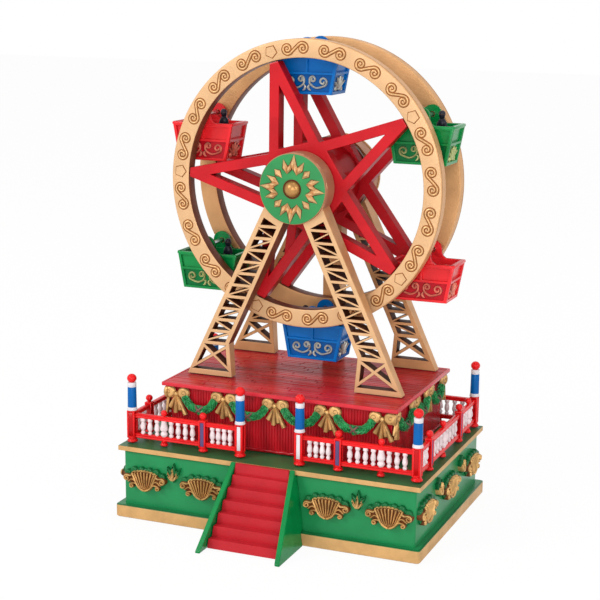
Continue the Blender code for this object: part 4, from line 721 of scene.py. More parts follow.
UNDER = smooth_path(mm([(4.0, -0.4), (5.2, 0.3), (6.3, -0.1), (7.5, -1.2)]), 3)
LOW_CURL = smooth_path(mm([(3.4, -1.8), (4.4, -1.3), (5.5, -1.5)]), 3)[:-1] + spiral((0.0057, -0.0025), 0.00095,
                                                                                     0.00020, 80, -380, 14)


def carved_shell(piece, place):
    """One shell on a wall: leaves, field, flutes, rim, arms and curls."""
    # A dark green mound under the whole shell: painted shadow on the wall.
    piece.add(slab(MOUND_SHADOW + flipped(MOUND_SHADOW[-2:0:-1]), SUNK, RELIEF - 0.0018, 0.0007, 3), "dark_green_and_shade", place)
    for u, v, size in LOBES:
        for side in (1, -1):
            piece.add(slab(oval((side * u, v), size * 0.92, size, 14), SUNK, BEAD_FOOT, 0.0006, 3), "dark_green_and_shade",
                      place)
    # The brown field under the flutes: painted shade between them.
    piece.add(slab(BOWL_HALF + flipped(BOWL_HALF[-2::-1]), SUNK, FIELD, 0.0003), "joint_and_shade_brown", place)
    for k in range(-3, 4):
        path = flute_path(k * FLUTE_STEP)
        shares = [max(0.30, 1.0 - 0.72 * n / (len(path) - 1)) for n in range(len(path))]
        shares[0] = 0.6
        # A wider brown bead under each gold flute: painted shade along its sides.
        piece.add(bead(path, 0.00118, 0.00070, BEAD_FOOT, shares=shares), "joint_and_shade_brown", place)
        piece.add(bead(path, 0.00078, 0.00112, BEAD_FOOT, shares=shares), "antique_gold", place)
        arch = spiral((path[0][0], path[0][1] - 0.0002), 0.00076, 0.00076, 10, 170, 5)
        piece.add(bead(arch, 0.0005, 0.0009, FIELD, 0.1), "antique_gold", place)
    for side in (1, -1):
        # Brown pads and a brown link under the arms: painted shade.
        for u, v, radius in PADS:
            piece.add(slab(flipped(oval((u, v), radius, radius, 14), side), SUNK, FIELD, 0.0003), "joint_and_shade_brown",
                      place)
        piece.add(slab(flipped(LINK, side), SUNK, FIELD, 0.0002), "joint_and_shade_brown", place)
        for path, width, tall in ((RIM_PATH, 0.00100, 0.0012), (ARM, 0.00085, 0.0012), (UNDER, 0.00075, 0.0011),
                                  (LOW_CURL, 0.00075, 0.0011)):
            path = flipped(path, side)
            # A wider brown bead under each gold bead: painted shade along its sides.
            piece.add(bead(path, width + 0.0003, tall * 0.62, BEAD_FOOT, 0.06), "joint_and_shade_brown", place)
            piece.add(bead(path, width - 0.0001, tall, BEAD_FOOT, 0.06), "antique_gold", place)


# %% One bud
def carved_bud(piece, place):
    """One bud: pointed green leaves, and a gold tulip of three petals in front."""
    for u, v, width in mm([(0, 4.5, 2.2), (-2.8, 2.8, 2.2), (3.1, 2.8, 2.2), (0.4, -3.6, 2.0)]):
        piece.add(slab(petal((u * 0.12, -0.0008), (u, v), width), SUNK, FIELD, 0.0006, 3), "dark_green_and_shade", place)
    for u, v, width, bend, drop in mm([(-2.1, 1.0, 1.1, 0.3, 0.3), (1.8, 1.1, 1.1, -0.3, 0.3),
                                       (0, 2.6, 1.2, 0, 0.1)]):
        piece.add(slab(petal((u * 0.10, -0.0024), (u, v), width, bend), SUNK, RELIEF - drop, 0.0004),
                  "antique_gold", place)


# %% All the shells and buds
SHELL_Z, BUD_Z = 0.0165, 0.0208
KEY_ROOM = 0.0130
WALL_FACES = {"front": ((1, 0, 0), (0, -1, 0)), "back": ((-1, 0, 0), (0, 1, 0)),
              "right": ((0, 1, 0), (1, 0, 0)), "left": ((0, -1, 0), (-1, 0, 0))}
UPWARD = Vector((0, 0, 1))

carving = Piece("dark_green_and_shade", "joint_and_shade_brown", "antique_gold")
for wall, (across, outward) in WALL_FACES.items():
    long_wall = wall in ("front", "back")
    shells = (-0.0521, -0.0266, 0.0266, 0.0521) if long_wall else (-0.0312, 0.0, 0.0312)
    buds = (-0.0394, 0.0394) if long_wall else (-0.0156, 0.0156)
    for carve, z, places in ((carved_shell, SHELL_Z, shells), (carved_bud, BUD_Z, buds)):
        for along in places:
            spot = Vector(across) * along + Vector(outward) * WALL_OUT[long_wall] + UPWARD * z
            if wall != "back" or abs(spot.x - KEY_X) >= KEY_ROOM:
                carve(carving, facing(spot, across, UPWARD, outward))
carving.build("wall_carving", "base", sharp=50)

# %% [markdown]
# ## The roof under the wheel
# The little house carries a roof of narrow weathered planks with a smooth edge board all round.  The planks
# are laid as real strips with a groove between them and joints in odd places, because the light of the
# photograph catches every groove.  A square well is left round the drive shaft, hidden below its column.

# %% Roof planks
ROOF_X = 0.0505
ROOF_Y = (-0.0314, 0.0378)
ROOF_Z = (0.0536, 0.0552)
PLANK = 0.00248
GROOVE = 0.00022
EDGE_BOARD = 0.0010
BOARD_EDGE = 0.00035
WELL_X, WELL_Y = (-0.0018, 0.0018), (0.0296, 0.0336)
WELL_JOINTS = (-0.0240, 0.0270)

roof = Piece("roof_wood", "roof_groove", "roof_edge")
chance = random.Random(11)
inner_x = ROOF_X - EDGE_BOARD
inner_y = (ROOF_Y[0] + EDGE_BOARD, ROOF_Y[1] - EDGE_BOARD)
for x, y in (((-inner_x, inner_x), (inner_y[0], WELL_Y[0])), ((-inner_x, inner_x), (WELL_Y[1], inner_y[1])),
             ((-inner_x, WELL_X[0]), WELL_Y), ((WELL_X[1], inner_x), WELL_Y)):
    roof.add(block(x, y, (ROOF_Z[0] + 0.0002, ROOF_Z[1] - 0.0003)), "roof_groove")
rows = round((inner_y[1] - inner_y[0]) / PLANK)
width = (inner_y[1] - inner_y[0]) / rows
for row in range(rows):
    low = inner_y[0] + row * width + GROOVE / 2
    high = low + width - GROOVE
    joints = [-inner_x]
    while joints[-1] < inner_x - 0.030:
        joints.append(min(joints[-1] + chance.uniform(0.012, 0.034), inner_x))
    joints[-1] = inner_x
    if low < WELL_Y[1] and high > WELL_Y[0]:
        joints = [-inner_x, WELL_JOINTS[0], WELL_X[0], None, WELL_X[1], WELL_JOINTS[1], inner_x]
    for left, right in zip(joints, joints[1:]):
        if left is not None and right is not None:
            top = ROOF_Z[1] - chance.uniform(0.0, 0.00010)
            roof.add(slab(rectangle((left + GROOVE / 2, right - GROOVE / 2), (low, high)), ROOF_Z[1] - 0.0006, top,
                          0.00012, 1), "roof_wood")
for x, y in (((-ROOF_X, ROOF_X), (ROOF_Y[0], inner_y[0])), ((-ROOF_X, ROOF_X), (inner_y[1], ROOF_Y[1])),
             ((-ROOF_X, -inner_x), (ROOF_Y[0] + 0.0003, ROOF_Y[1] - 0.0003)),
             ((inner_x, ROOF_X), (ROOF_Y[0] + 0.0003, ROOF_Y[1] - 0.0003))):
    roof.add(block(x, y, ROOF_Z, BOARD_EDGE), "roof_edge")
roof.build("roof_planks", "base", ("roof_deck",))

# %% [markdown]
# ## The boarded walls
# The walls are beaded boards: close upright ribs, a little more than a millimetre apart, that run from the
# terrace to the roof.  A wavy glossy skirting lies along their foot.  The ribs come from one wavy outline
# drawn upwards, which keeps the walls closed and light.

# %% House walls
HOUSE_X, HOUSE_FRONT, HOUSE_BACK = 0.0475, -0.0284, 0.0348
HOUSE_Z = (0.0302, 0.0533)
HOUSE_WALL = 0.0018
RIB, RIB_DEPTH = 0.00120, 0.00030
RIB_SHAPE = ((0.0, 1.0), (0.14, 0.15), (0.36, 0.0), (0.64, 0.0), (0.86, 0.15))
SKIRT_STEP, SKIRT_RADIUS = 0.0013, 0.00062


def house_sides(inset):
    """The four walls seen from above, each with its ends and the way it faces."""
    x, front, back = HOUSE_X - inset, HOUSE_FRONT + inset, HOUSE_BACK - inset
    corners = [Vector(c) for c in rectangle((-x, x), (front, back))]
    return [(corners[k], corners[(k + 1) % 4], Vector(((0, -1), (1, 0), (0, 1), (-1, 0))[k])) for k in range(4)]


def ribbed_edge(start, end, outward):
    """Points along one wall from corner to corner, in and out over each rib."""
    ribs = round((end - start).length / RIB)
    path = [start.lerp(end, (rib + share) / ribs) - outward * (RIB_DEPTH * depth)
            for rib in range(ribs) for share, depth in RIB_SHAPE]
    return [start] + path[1:]


outer, inner = [], []
for wall, inside in zip(house_sides(0.0), house_sides(HOUSE_WALL)):
    edge = ribbed_edge(*wall)
    outer += edge
    inner += [inside[0].lerp(inside[1], i / len(edge)) for i in range(len(edge))]
siding = Piece("house_red", "skirt_red")
siding.add(stacked([[(*p, z) for p in loop] for loop, z in ((outer, HOUSE_Z[0]), (outer, HOUSE_Z[1]),
                                                            (inner, HOUSE_Z[1]), (inner, HOUSE_Z[0]))], closed=True),
           "house_red")
chance = random.Random(4)
for start, end, outward in house_sides(0.0):
    steps = round((end - start).length / SKIRT_STEP)
    path, radii = [], []
    for step in range(steps + 1):
        spot = start.lerp(end, step / steps) + outward * 0.00005
        path.append((*spot, HOUSE_Z[0] + 0.0007 + chance.uniform(-0.0001, 0.00025)))
        radii.append(SKIRT_RADIUS + chance.uniform(-0.00010, 0.00016))
    siding.add(tube(path, radii, 7), "skirt_red")
siding.build("house_siding", "base", ("house_shell",), sharp=60)

# %% [markdown]
# ## Garlands and bows
# A string of foliage hangs under the eaves from bow to bow: two thick sprays of small leaves meet in the
# middle of each gap, where a dusky ribbon crosses them.  Every leaf is a small raised scale set round a core.
# The bows are cast gold: two puffed loops with a curl pressed into each, a knot, and four folded tails; the
# curls and creases are brown beads and a brown backing shows between the tails, all painted shade.

# %% Foliage
GARLAND_TOP = 0.0533
GARLAND_OUT = 0.00155
SPRAY_RADIUS = 0.00150
SWAG_LOW = GARLAND_TOP - 0.0083
LEAVES_ROUND = 7


def scale_leaf(root, tip, side, lift):
    """One small leaf: a flat kite with a ridge raised along its middle."""
    middle = root.lerp(tip, 0.45)
    points = [root, middle + side, tip, middle - side, root.lerp(tip, 0.40) + lift, middle - lift * 0.5]
    faces = [(0, 1, 4), (1, 2, 4), (2, 3, 4), (3, 0, 4), (1, 0, 5), (2, 1, 5), (3, 2, 5), (0, 3, 5)]
    return points, faces


def spray(piece, path, place):
    """A spray of leaves along a path on the local XY plane, lying on the plane's outer side."""
    path = [Vector((*p, GARLAND_OUT)) for p in smooth_path(path, 4)]
    # The core in the darker green, seen between the leaves: painted shade.
    piece.add(tube(path, SPRAY_RADIUS * 0.66), "dark_green_and_shade", place)
    for i, (here, after) in enumerate(zip(path, path[1:])):
        along = (after - here).normalized()
        across = along.cross(UPWARD).normalized()
        for k in range(LEAVES_ROUND):
            angle = math.radians(-35 + 250 * (k + 0.5 * (i % 2)) / 6.5) + chance.uniform(-0.12, 0.12)
            out = across * math.cos(angle) + UPWARD * math.sin(angle)
            root = here + out * SPRAY_RADIUS * 0.54 - along * 0.0002
            length = chance.uniform(0.0012, 0.0020)
            tip = here + out * SPRAY_RADIUS * chance.uniform(0.94, 1.22) + along * length
            side = along.cross(out) * chance.uniform(0.00042, 0.00060)
            piece.add(scale_leaf(root, tip, side, out * 0.00056), "leaf_green", place)


def swag(piece, left, right, place):
    """The foliage between two bows: two sprays that fall to the middle, and the ribbon across them."""
    start, middle, span = GARLAND_TOP - 0.0036, (left + right) / 2, (right - left) / 2
    for side in (-1, 1):
        spray(piece, [(middle + side * span * share, height) for share, height in (
            (1, start + 0.0004), (0.78, start - 0.0022), (0.46, SWAG_LOW + 0.0004), (-0.02, SWAG_LOW))], place)
    for side in (-1, 1):
        band_path = [(middle + side * u, SWAG_LOW + v, GARLAND_OUT + w)
                     for u, v, w in mm([(-1.7, 1.6, 0.7), (-0.6, 0.6, 1.6), (0.8, -0.6, 1.4), (1.8, -1.4, 0.3)])]
        piece.add(tube(smooth_path(band_path, 3), 0.00042, 6, 0.7), "ribbon_dusk", place)
    root = Vector((middle, SWAG_LOW - 0.0008, GARLAND_OUT + 0.0004))
    for angle in (-125, -90, -60):
        turn = math.radians(angle + chance.uniform(-8, 8))
        tip = root + Vector((math.cos(turn), math.sin(turn), 0.15)) * 0.0016
        side = Vector((-math.sin(turn), math.cos(turn), 0)) * 0.00045
        piece.add(scale_leaf(root, tip, side, UPWARD * 0.0004), "leaf_green", place)


# %% Bows
PUFF = oval((0.0031, 0.0006), 0.0026, 0.0025, 16)
PUFF_CURL = spiral((0.0034, 0.0006), 0.00150, 0.00025, 250, 700, 18)
CREASES = mm([(0.7, 0.6), (1.6, 1.3), (2.8, 2.4)]), mm([(0.8, -0.2), (1.6, -0.8), (2.6, -1.4)])
TAILS = mm([(-3.3, -6.0, 2.1), (-0.8, -8.0, 2.0), (1.3, -6.8, 1.9), (3.7, -8.6, 2.1)])
TAIL_SHADE = mm([(0, 0), (-4.2, -5.6), (-2.8, -6.4), (-1.0, -8.2), (1.0, -7.4), (2.0, -7.4), (3.6, -8.8),
                 (4.6, -8.0)])


def bow(piece, centre, squeeze, place):
    """One gold bow on the local XY plane: two loops, curls, knot and folded tails."""
    def moved(path, side=1):
        return [(centre[0] + squeeze * side * u, centre[1] + v) for u, v in path]

    for side in (-1, 1):
        piece.add(slab(moved(PUFF, side), 0.0006, 0.0021, 0.0011, 4), "antique_gold", place)
        # The brown curl and creases on each loop: painted shade.
        piece.add(bead(moved(PUFF_CURL, side), 0.00036, 0.00060, 0.00160, 0.06, 4), "joint_and_shade_brown", place)
        for path in CREASES:
            piece.add(bead(moved(smooth_path(path, 3), side), 0.00034, 0.00070, 0.00135, 0.2, 4), "joint_and_shade_brown",
                      place)
    # A brown backing behind the tails, seen between them: painted shade.
    piece.add(slab(moved(TAIL_SHADE), 0.0004, 0.00078, 0.0001, 1), "joint_and_shade_brown", place)
    for number, (u, v, width) in enumerate(TAILS):
        path = smooth_path([(u * 0.08, -0.0006), (u * 0.45, v * 0.42), (u * 0.80, v * 0.80), (u, v)], 3)
        shares = [i / (len(path) - 1) for i in range(len(path))]
        widths = [squeeze * width * (0.30 + 0.58 * min(1.0, 1.3 * share)) for share in shares]
        heights = [0.0010 + 0.0003 * (number % 2) - 0.0003 * share for share in shares]
        piece.add(fold(moved(path), widths, heights, 0.0007, 5), "antique_gold", place)
    piece.add(slab(moved(oval((0.0, 0.0001), 0.00085, 0.00095, 10)), 0.0006, 0.0025, 0.0006, 3), "antique_gold",
              place)


# %% Strings round the four sides
FRONT_BOWS = (-0.0444, -0.0234, -0.0010, 0.0212, 0.0440)
SIDE_BOWS = (-0.0276, -0.0048, 0.0138, 0.0336)
END_SQUEEZE = 0.68
STRINGS = {"front": (-HOUSE_FRONT, FRONT_BOWS), "back": (HOUSE_BACK, FRONT_BOWS), "right": (HOUSE_X, SIDE_BOWS),
           "left": (HOUSE_X, [-y for y in SIDE_BOWS[::-1]])}

chance = random.Random(23)
for wall, (distance, bows) in STRINGS.items():
    across, outward = WALL_FACES[wall]
    string = Piece("antique_gold", "leaf_green", "dark_green_and_shade", "ribbon_dusk", "joint_and_shade_brown")
    place = facing(Vector(outward) * (distance + 0.0002), across, UPWARD, outward)
    for number, along in enumerate(bows):
        at_end = wall in ("left", "right") and number in (0, len(bows) - 1)
        bow(string, (along, GARLAND_TOP - 0.0029), END_SQUEEZE if at_end else 1.0, place)
        if number < len(bows) - 1:
            swag(string, along + (0.0022 if at_end else 0.0036), bows[number + 1] - 0.0036, place)
    string.build("garland_string_" + wall, "base", ("garland_" + wall,), sharp=35)

# %% [markdown]
# ## The fence
# A moulded red fence runs round the terrace: two rails, white vase-shaped balusters between them, and square
# newels with a sunk violet panel and a ball.  The middle of each longer panel has a fat baluster with a ball
# over the top rail and a small foot under the bottom one.  Rails are drawn as one moulded section pulled
# from post to post; balusters, feet and balls are turned.

# %% Fence profiles
FLOOR = 0.0302
LOW_RAIL, HIGH_RAIL, RAIL_TALL = 0.0323, 0.0407, 0.0018
FENCE_X, FENCE_FRONT, FENCE_BACK = 0.0608, -0.0374, 0.0402
POST_HALF, NEWEL_HALF = 0.0017, 0.0015
NEWEL_TOP, POST_TOP = 0.0430, 0.0437
BALUSTER_TALL = 0.0066
BALUSTER = mm([(0, 0), (0.66, 0), (0.74, 0.30), (0.92, 0.58), (0.84, 0.98), (0.56, 1.34), (0.70, 1.70), (1.00, 2.2),
               (1.08, 2.9), (1.00, 3.7), (0.78, 4.5), (0.66, 5.0), (0.72, 5.2), (0.98, 5.5), (1.00, 6.0),
               (0.94, 6.6), (0, 6.6)])
FAT_BALUSTER = mm([(0, 0), (0.90, 0), (1.20, 0.4), (1.48, 0.9), (1.42, 1.5), (1.05, 1.95), (0.92, 2.15),
                   (1.25, 2.45), (1.62, 2.9), (1.56, 3.7), (1.36, 4.6), (1.16, 5.4), (1.06, 6.0), (1.10, 6.6),
                   (0, 6.6)])
HALF_RAIL = mm([(0.62, 0), (0.80, 0.16), (0.80, 0.52), (0.66, 0.66), (0.66, 1.02), (0.92, 1.24), (0.92, 1.60),
                (0.72, 1.80)])
FOOT_RING = mm([(0, 0), (0.86, 0), (1.16, 0.20), (1.26, 0.55), (1.16, 0.90), (0.96, 1.08), (0.92, 1.25),
                (1.02, 1.45), (1.00, 1.70), (0, 1.70)])
BALL = mm([(0, 0), (0.62, 0), (0.50, 0.22), (0.60, 0.42), (0.94, 0.72), (1.14, 1.16), (1.20, 1.62), (1.12, 2.10),
           (0.90, 2.50), (0.52, 2.80), (0, 2.90)])


def turned_part(piece, profile, wide, tall, count, name, place):
    """A turned profile, widened and stretched."""
    piece.add(turned([(r * wide, h * tall) for r, h in profile], count), name, place)


def sunk_shaft(piece, half, bar, low, high, place, panel, faces_out):
    """A square shaft whose four sides are sunk panels framed by corner bars; the named sides are painted, and the sunk
    core between the bars is a darker red as painted shade.
    """
    core, edge = half - 0.00030, 0.00022
    piece.add(block((-core, core), (-core, core), (low, high)), "fence_shade_red", place)
    sides = ((-half, bar - half), (half - bar, half))
    for x in sides:
        for y in sides:
            piece.add(block(x, y, (low, high), edge, 1), "fence_red", place)
    cross = (0.0001 - half, half - 0.0001)
    for z in ((low, low + bar), (high - bar, high)):
        piece.add(block(cross, cross, z, edge, 1), "fence_red", place)
    inside = half - bar - 0.0001
    for x, y in faces_out:
        spot = facing((x * core, y * core, 0), (-y, x, 0), UPWARD, (x, y, 0))
        piece.add(slab(rectangle((-inside, inside), (low + bar + 0.0001, high - bar - 0.0001)), -0.0001, 0.00012,
                       0.00006, 1), panel, place @ spot)


def newel(piece, along, place, out):
    """A square newel with its foot, its sunk violet panel and its ball."""
    spot = place @ at(along)
    turned_part(piece, FOOT_RING, 1.55, 1.0, 20, "fence_red", spot @ at(z=FLOOR))
    sunk_shaft(piece, NEWEL_HALF, 0.00062, FLOOR + 0.0016, NEWEL_TOP, spot, "newel_violet", (out,))
    square = (-NEWEL_HALF, NEWEL_HALF)
    piece.add(slab(rectangle(square, square), NEWEL_TOP - 0.0002, NEWEL_TOP + 0.0004, 0.00055), "fence_red", spot)
    turned_part(piece, BALL, 1.22, 1.05, 20, "fence_red", spot @ at(z=NEWEL_TOP + 0.0002))


def panel(piece, left, right, count, fat, place):
    """The rails and the balusters between two posts."""
    section = HALF_RAIL + flipped(HALF_RAIL[::-1])
    for low in (LOW_RAIL, HIGH_RAIL):
        piece.add(stacked([[(x, y, low + z) for y, z in section] for x in (right + 0.0002, left - 0.0002)]),
                  "fence_red", place)
    foot = LOW_RAIL + RAIL_TALL - 0.00005
    tall = (HIGH_RAIL - foot + 0.0001) / BALUSTER_TALL
    for number in range(count):
        spot = place @ at(left + (number + 1) * (right - left) / (count + 1))
        if number != fat:
            turned_part(piece, BALUSTER, 1.0, tall, 14, "baluster_white", spot @ at(z=foot))
            continue
        turned_part(piece, FAT_BALUSTER, 1.0, tall, 16, "baluster_white", spot @ at(z=foot))
        turned_part(piece, FOOT_RING, 1.25, 1.0, 18, "fence_red", spot @ at(z=FLOOR))
        turned_part(piece, FOOT_RING, 0.78, 0.35, 16, "fence_red", spot @ at(z=FLOOR + 0.00165))
        turned_part(piece, BALL, 1.05, 0.98, 18, "fence_red", spot @ at(z=HIGH_RAIL + RAIL_TALL - 0.0001))


# %% Five runs
def run(name, stations, counts, fats, place, out):
    """A run of fence from post to post along the local X."""
    piece = Piece("fence_red", "fence_shade_red", "baluster_white", "newel_violet")
    halves = [POST_HALF] + [NEWEL_HALF] * (len(stations) - 2) + [POST_HALF]
    for number, (count, fat) in enumerate(zip(counts, fats)):
        panel(piece, stations[number] + halves[number], stations[number + 1] - halves[number + 1], count, fat, place)
    for along in stations[1:-1]:
        newel(piece, along, place, out)
    piece.build(name + "_moulded", "base", (name,), sharp=45)


quarter = Matrix.Rotation(math.pi / 2, 4, "Z")
run("fence_front_right", (0.0127, 0.0289, 0.0608), (4, 8), (None, 4), at(0, FENCE_FRONT), (0, -1))
run("fence_front_left", (-0.0608, -0.0289, -0.0127), (8, 4), (3, None), at(0, FENCE_FRONT), (0, -1))
for side, name in ((1, "fence_right"), (-1, "fence_left")):
    run(name, (-0.0374, -0.0227, 0.0173, 0.0402), (3, 8, 4), (None, 3, 2), at(side * FENCE_X, 0, 0, quarter),
        (0, -side))
run("fence_back", (-0.0608, -0.0304, 0.0, 0.0304, 0.0608), (7,) * 4, (3,) * 4, at(0, FENCE_BACK), (0, 1))

# %% [markdown]
# ## The six tall posts
# Each tall post is turned and painted in bands: a square red shaft with sunk panels on a bulged foot, a
# white ring that flares downwards, a blue tube, a second white ring and a red ball.  The two posts beside
# the stairs have a white panel at the front.

# %% Tall posts
POST_BANDS = ((0.0436, "band_white", [(0, 0), (1.62, 0), (2.12, 0.14), (2.14, 0.34), (2.02, 0.80), (1.90, 1.30),
                                      (1.80, 1.50), (0, 1.50)]),
              (0.0450, "tube_blue", [(0, 0), (1.84, 0), (1.86, 0.2), (1.78, 8.3), (1.72, 8.5), (0, 8.5)]),
              (0.0534, "band_white", [(0, 0), (1.70, 0), (1.80, 0.15), (1.80, 1.75), (1.66, 1.95), (0, 1.95)]),
              (0.0552, "fence_red", [(0, 0), (1.10, 0), (0.98, 0.22), (1.36, 0.50), (1.86, 1.10), (1.98, 1.80),
                                     (1.84, 2.42), (1.50, 2.96), (0.98, 3.36), (0.40, 3.56), (0, 3.60)]))


def tall_post(name, x, y, panel_paint, outs):
    piece = Piece("fence_red", "fence_shade_red", "band_white", "tube_blue")
    spot = at(x, y)
    turned_part(piece, FOOT_RING, 1.80, 1.12, 24, "fence_red", spot @ at(z=FLOOR))
    sunk_shaft(piece, POST_HALF, 0.00084, FLOOR + 0.0018, POST_TOP, spot, panel_paint, outs)
    for z, paint_name, profile in POST_BANDS:
        piece.add(turned(mm(profile), 28), paint_name, spot @ at(z=z))
    piece.build(name + "_turned", "base", (name,), sharp=45)


for side, name in ((-1, "left"), (1, "right")):
    tall_post("post_stair_" + name, side * 0.0127, FENCE_FRONT, "band_white", ((0, -1),))
# The outer posts' sunk panels take the darker red: painted shade.
for side, name in ((-1, "left"), (1, "right")):
    tall_post("post_front_" + name, side * FENCE_X, FENCE_FRONT, "fence_shade_red", ((0, -1), (side, 0)))
    tall_post("post_back_" + name, side * FENCE_X, FENCE_BACK, "fence_shade_red", ((0, 1), (side, 0)))

# %% [markdown]
# ## The two rims
# The wheel's rims are flat hoops.  The front one has a pale satin face with twenty S-shaped scrolls, four in
# each fifth of the circle, and a small raised pentagon over each point of the star; its inner side is dark
# brown, painted shade.  A hoop is a closed outline turned round the axle.  A scroll is one path, two spirals
# joined by a straight stroke, bent round the rim: a narrow gold bead follows it, over a wider brown line of
# painted shade, and each pentagon lies on a brown outline of painted shadow.

# %% Wheel tools
AXLE_Z = 0.1350
RIM_OUTER, RIM_INNER, RIM_MIDDLE = 0.0576, 0.0502, 0.0539
FRONT_RIM_Z, REAR_RIM_Z = (0.0005, 0.0063), (-0.0249, -0.0191)
RIM_EDGE = 0.00045
GROOVE_DEEP = 0.00018
STAR_TURN = 104.9
WHEEL_PLACE = facing((0, 0, AXLE_Z), (1, 0, 0), (0, 0, 1), (0, -1, 0))


def hoop(piece, profile, count=144):
    """Turn a closed outline of (radius, height, paint) stations; a paint covers the side after its station."""
    start, size = len(piece.points), len(profile)
    for angle in [math.tau * step / count for step in range(count)]:
        piece.points += [WHEEL_PLACE @ Vector((r * math.cos(angle), r * math.sin(angle), h)) for r, h, _ in profile]
    for step in range(count):
        a, b = start + step * size, start + (step + 1) % count * size
        piece.faces += [(a + k, b + k, b + (k + 1) % size, a + (k + 1) % size) for k in range(size)]
        piece.marks += [piece.paints.index(name) for _, _, name in profile]


def hoop_outline(low, high, face, rear, groove_z, groove_width, steps=3):
    """A flat hoop's outline with round edges, a paint for each of its four sides and a groove outside; the outer
    side's deeper gold and the inner side's brown are painted shade.
    """
    near, far = RIM_INNER + RIM_EDGE, RIM_OUTER - RIM_EDGE
    outline = []
    before = rear
    for r, h, turn, after in ((far, low + RIM_EDGE, -90, "rim_side_shade"), (far, high - RIM_EDGE, 0, face),
                              (near, high - RIM_EDGE, 90, "inner_shade_brown"), (near, low + RIM_EDGE, 180, rear)):
        for k, (u, v) in enumerate(spiral((r, h), RIM_EDGE, RIM_EDGE, turn, turn + 90, steps + 1)):
            outline.append((u, v, after if 2 * k >= steps else before))
        before = after
    spot = next(k for k, (r, h, _) in enumerate(outline) if h > groove_z + groove_width and r > RIM_MIDDLE)
    outline[spot:spot] = [(RIM_OUTER, groove_z - groove_width / 2, "joint_and_shade_brown"),
                          (RIM_OUTER - GROOVE_DEEP, groove_z, "joint_and_shade_brown"),
                          (RIM_OUTER, groove_z + groove_width / 2, "rim_side_shade")]
    return outline


def round_the_rim(path, turn):
    """Bend a flat path round the rim; v points to the axle, turn is the angle of its middle in degrees."""
    turns = [(math.radians(turn) + u / RIM_MIDDLE, RIM_MIDDLE - v) for u, v in path]
    return [(radius * math.cos(angle), radius * math.sin(angle)) for angle, radius in turns]


# %% Front rim with its scrolls
SCROLL_TURNS = (10.95, 27.65, 44.35, 61.05)
FACE_Z = FRONT_RIM_Z[1]
left_curl = spiral((-0.00330, 0.0), 0.00045, 0.00215, -553.4, -49.4, 38)
right_curl = spiral((0.00330, 0.0), 0.00215, 0.00045, 130.6, -373.4, 38)
stroke = [tuple(Vector(left_curl[-1]).lerp(Vector(right_curl[0]), k / 5)) for k in range(1, 5)]
scroll = left_curl + stroke + right_curl

front = Piece("satin_gold", "inner_shade_brown", "rim_side_shade", "joint_and_shade_brown", "scroll_gold", "scroll_shade_brown")
hoop(front, hoop_outline(*FRONT_RIM_Z, "satin_gold", "rim_side_shade", 0.0052, 0.00024))
for turn in [STAR_TURN + 72 * fifth for fifth in range(5)]:
    for step in SCROLL_TURNS:
        path = round_the_rim(scroll, turn + step)
        # A wider brown line under each gold scroll bead: painted shade.
        front.add(bead(path, 0.00196, 0.00007, FACE_Z - 0.00002, 0.04, 4), "scroll_shade_brown", WHEEL_PLACE)
        front.add(bead(path, 0.00074, 0.00046, FACE_Z - 0.00002, 0.06), "scroll_gold", WHEEL_PLACE)
    # Each pentagon stands on a slightly larger brown one, a painted shadow round its edge.
    for size, low, high, name in ((0.00280, -0.0001, 0.00007, "scroll_shade_brown"), (0.00240, 0.0, 0.00034, "satin_gold")):
        pentagon = round_the_rim(spiral((0, 0), size, size, 90, 378, 5), turn)
        front.add(slab(pentagon, FACE_Z + low, FACE_Z + high, 0.00006, 1), name, WHEEL_PLACE)
front.build("front_rim_hoop", "wheel", ("front_rim",), sharp=35)

# %% [markdown]
# ## The plain rear rim
# Nobody sees the rear rim's ornament, and the photograph shows none: a plain hoop in a deeper gold that is
# painted shade, with a fine turned groove near the rear edge of its outer side, where the two halves of the
# real moulding meet.

# %% Rear rim
rear = Piece("rear_shade_gold", "inner_shade_brown", "rim_side_shade", "joint_and_shade_brown")
hoop(rear, hoop_outline(*REAR_RIM_Z, "rear_shade_gold", "rear_shade_gold", REAR_RIM_Z[0] + 0.0010, 0.00032))
rear.build("rear_rim_hoop", "wheel", ("rear_rim",), sharp=35)

# %% [markdown]
# ## The hub caps
# The front cap is a green disc in a gold drum, whose side is a darker rose gold as painted shade.  On the
# disc lie four gold crowns like a split W, four small kites between them and a ball in the middle.  Such
# cast ornament has a ridge along the middle of every point, so each is built from facets: the outline lies
# low and a second, smaller outline stands up.  Every point lies on a dark brown edge and the ball on a dark
# brown ring, both painted shadow.

# %% Cast kites
FRONT_CAP_Z, CAP_RADIUS = (0.0155, 0.0169), 0.0141
REAR_CAP_Z, REAR_CAP_RADIUS = (-0.0395, -0.0378), 0.0170
BALL_RADIUS, BALL_RISE = 0.00335, 0.0031
KITE_SHADOW_EDGE = 0.0007
CROWN = [(point[:2], point[2:4], point[4]) for point in mm([
    (-2.3, 6.0, -3.8, 11.6, 2.2), (0.2, 7.4, 0.8, 13.7, 2.3), (2.0, 5.7, 5.0, 10.8, 2.3),
    (-2.2, 5.8, 0.2, 11.2, 1.8), (1.9, 5.4, 1.0, 11.2, 1.9)])]


def toward(outline, middle, share):
    """Every point of an outline moved towards a middle."""
    return [tuple(Vector(p).lerp(middle, share)) for p in outline]


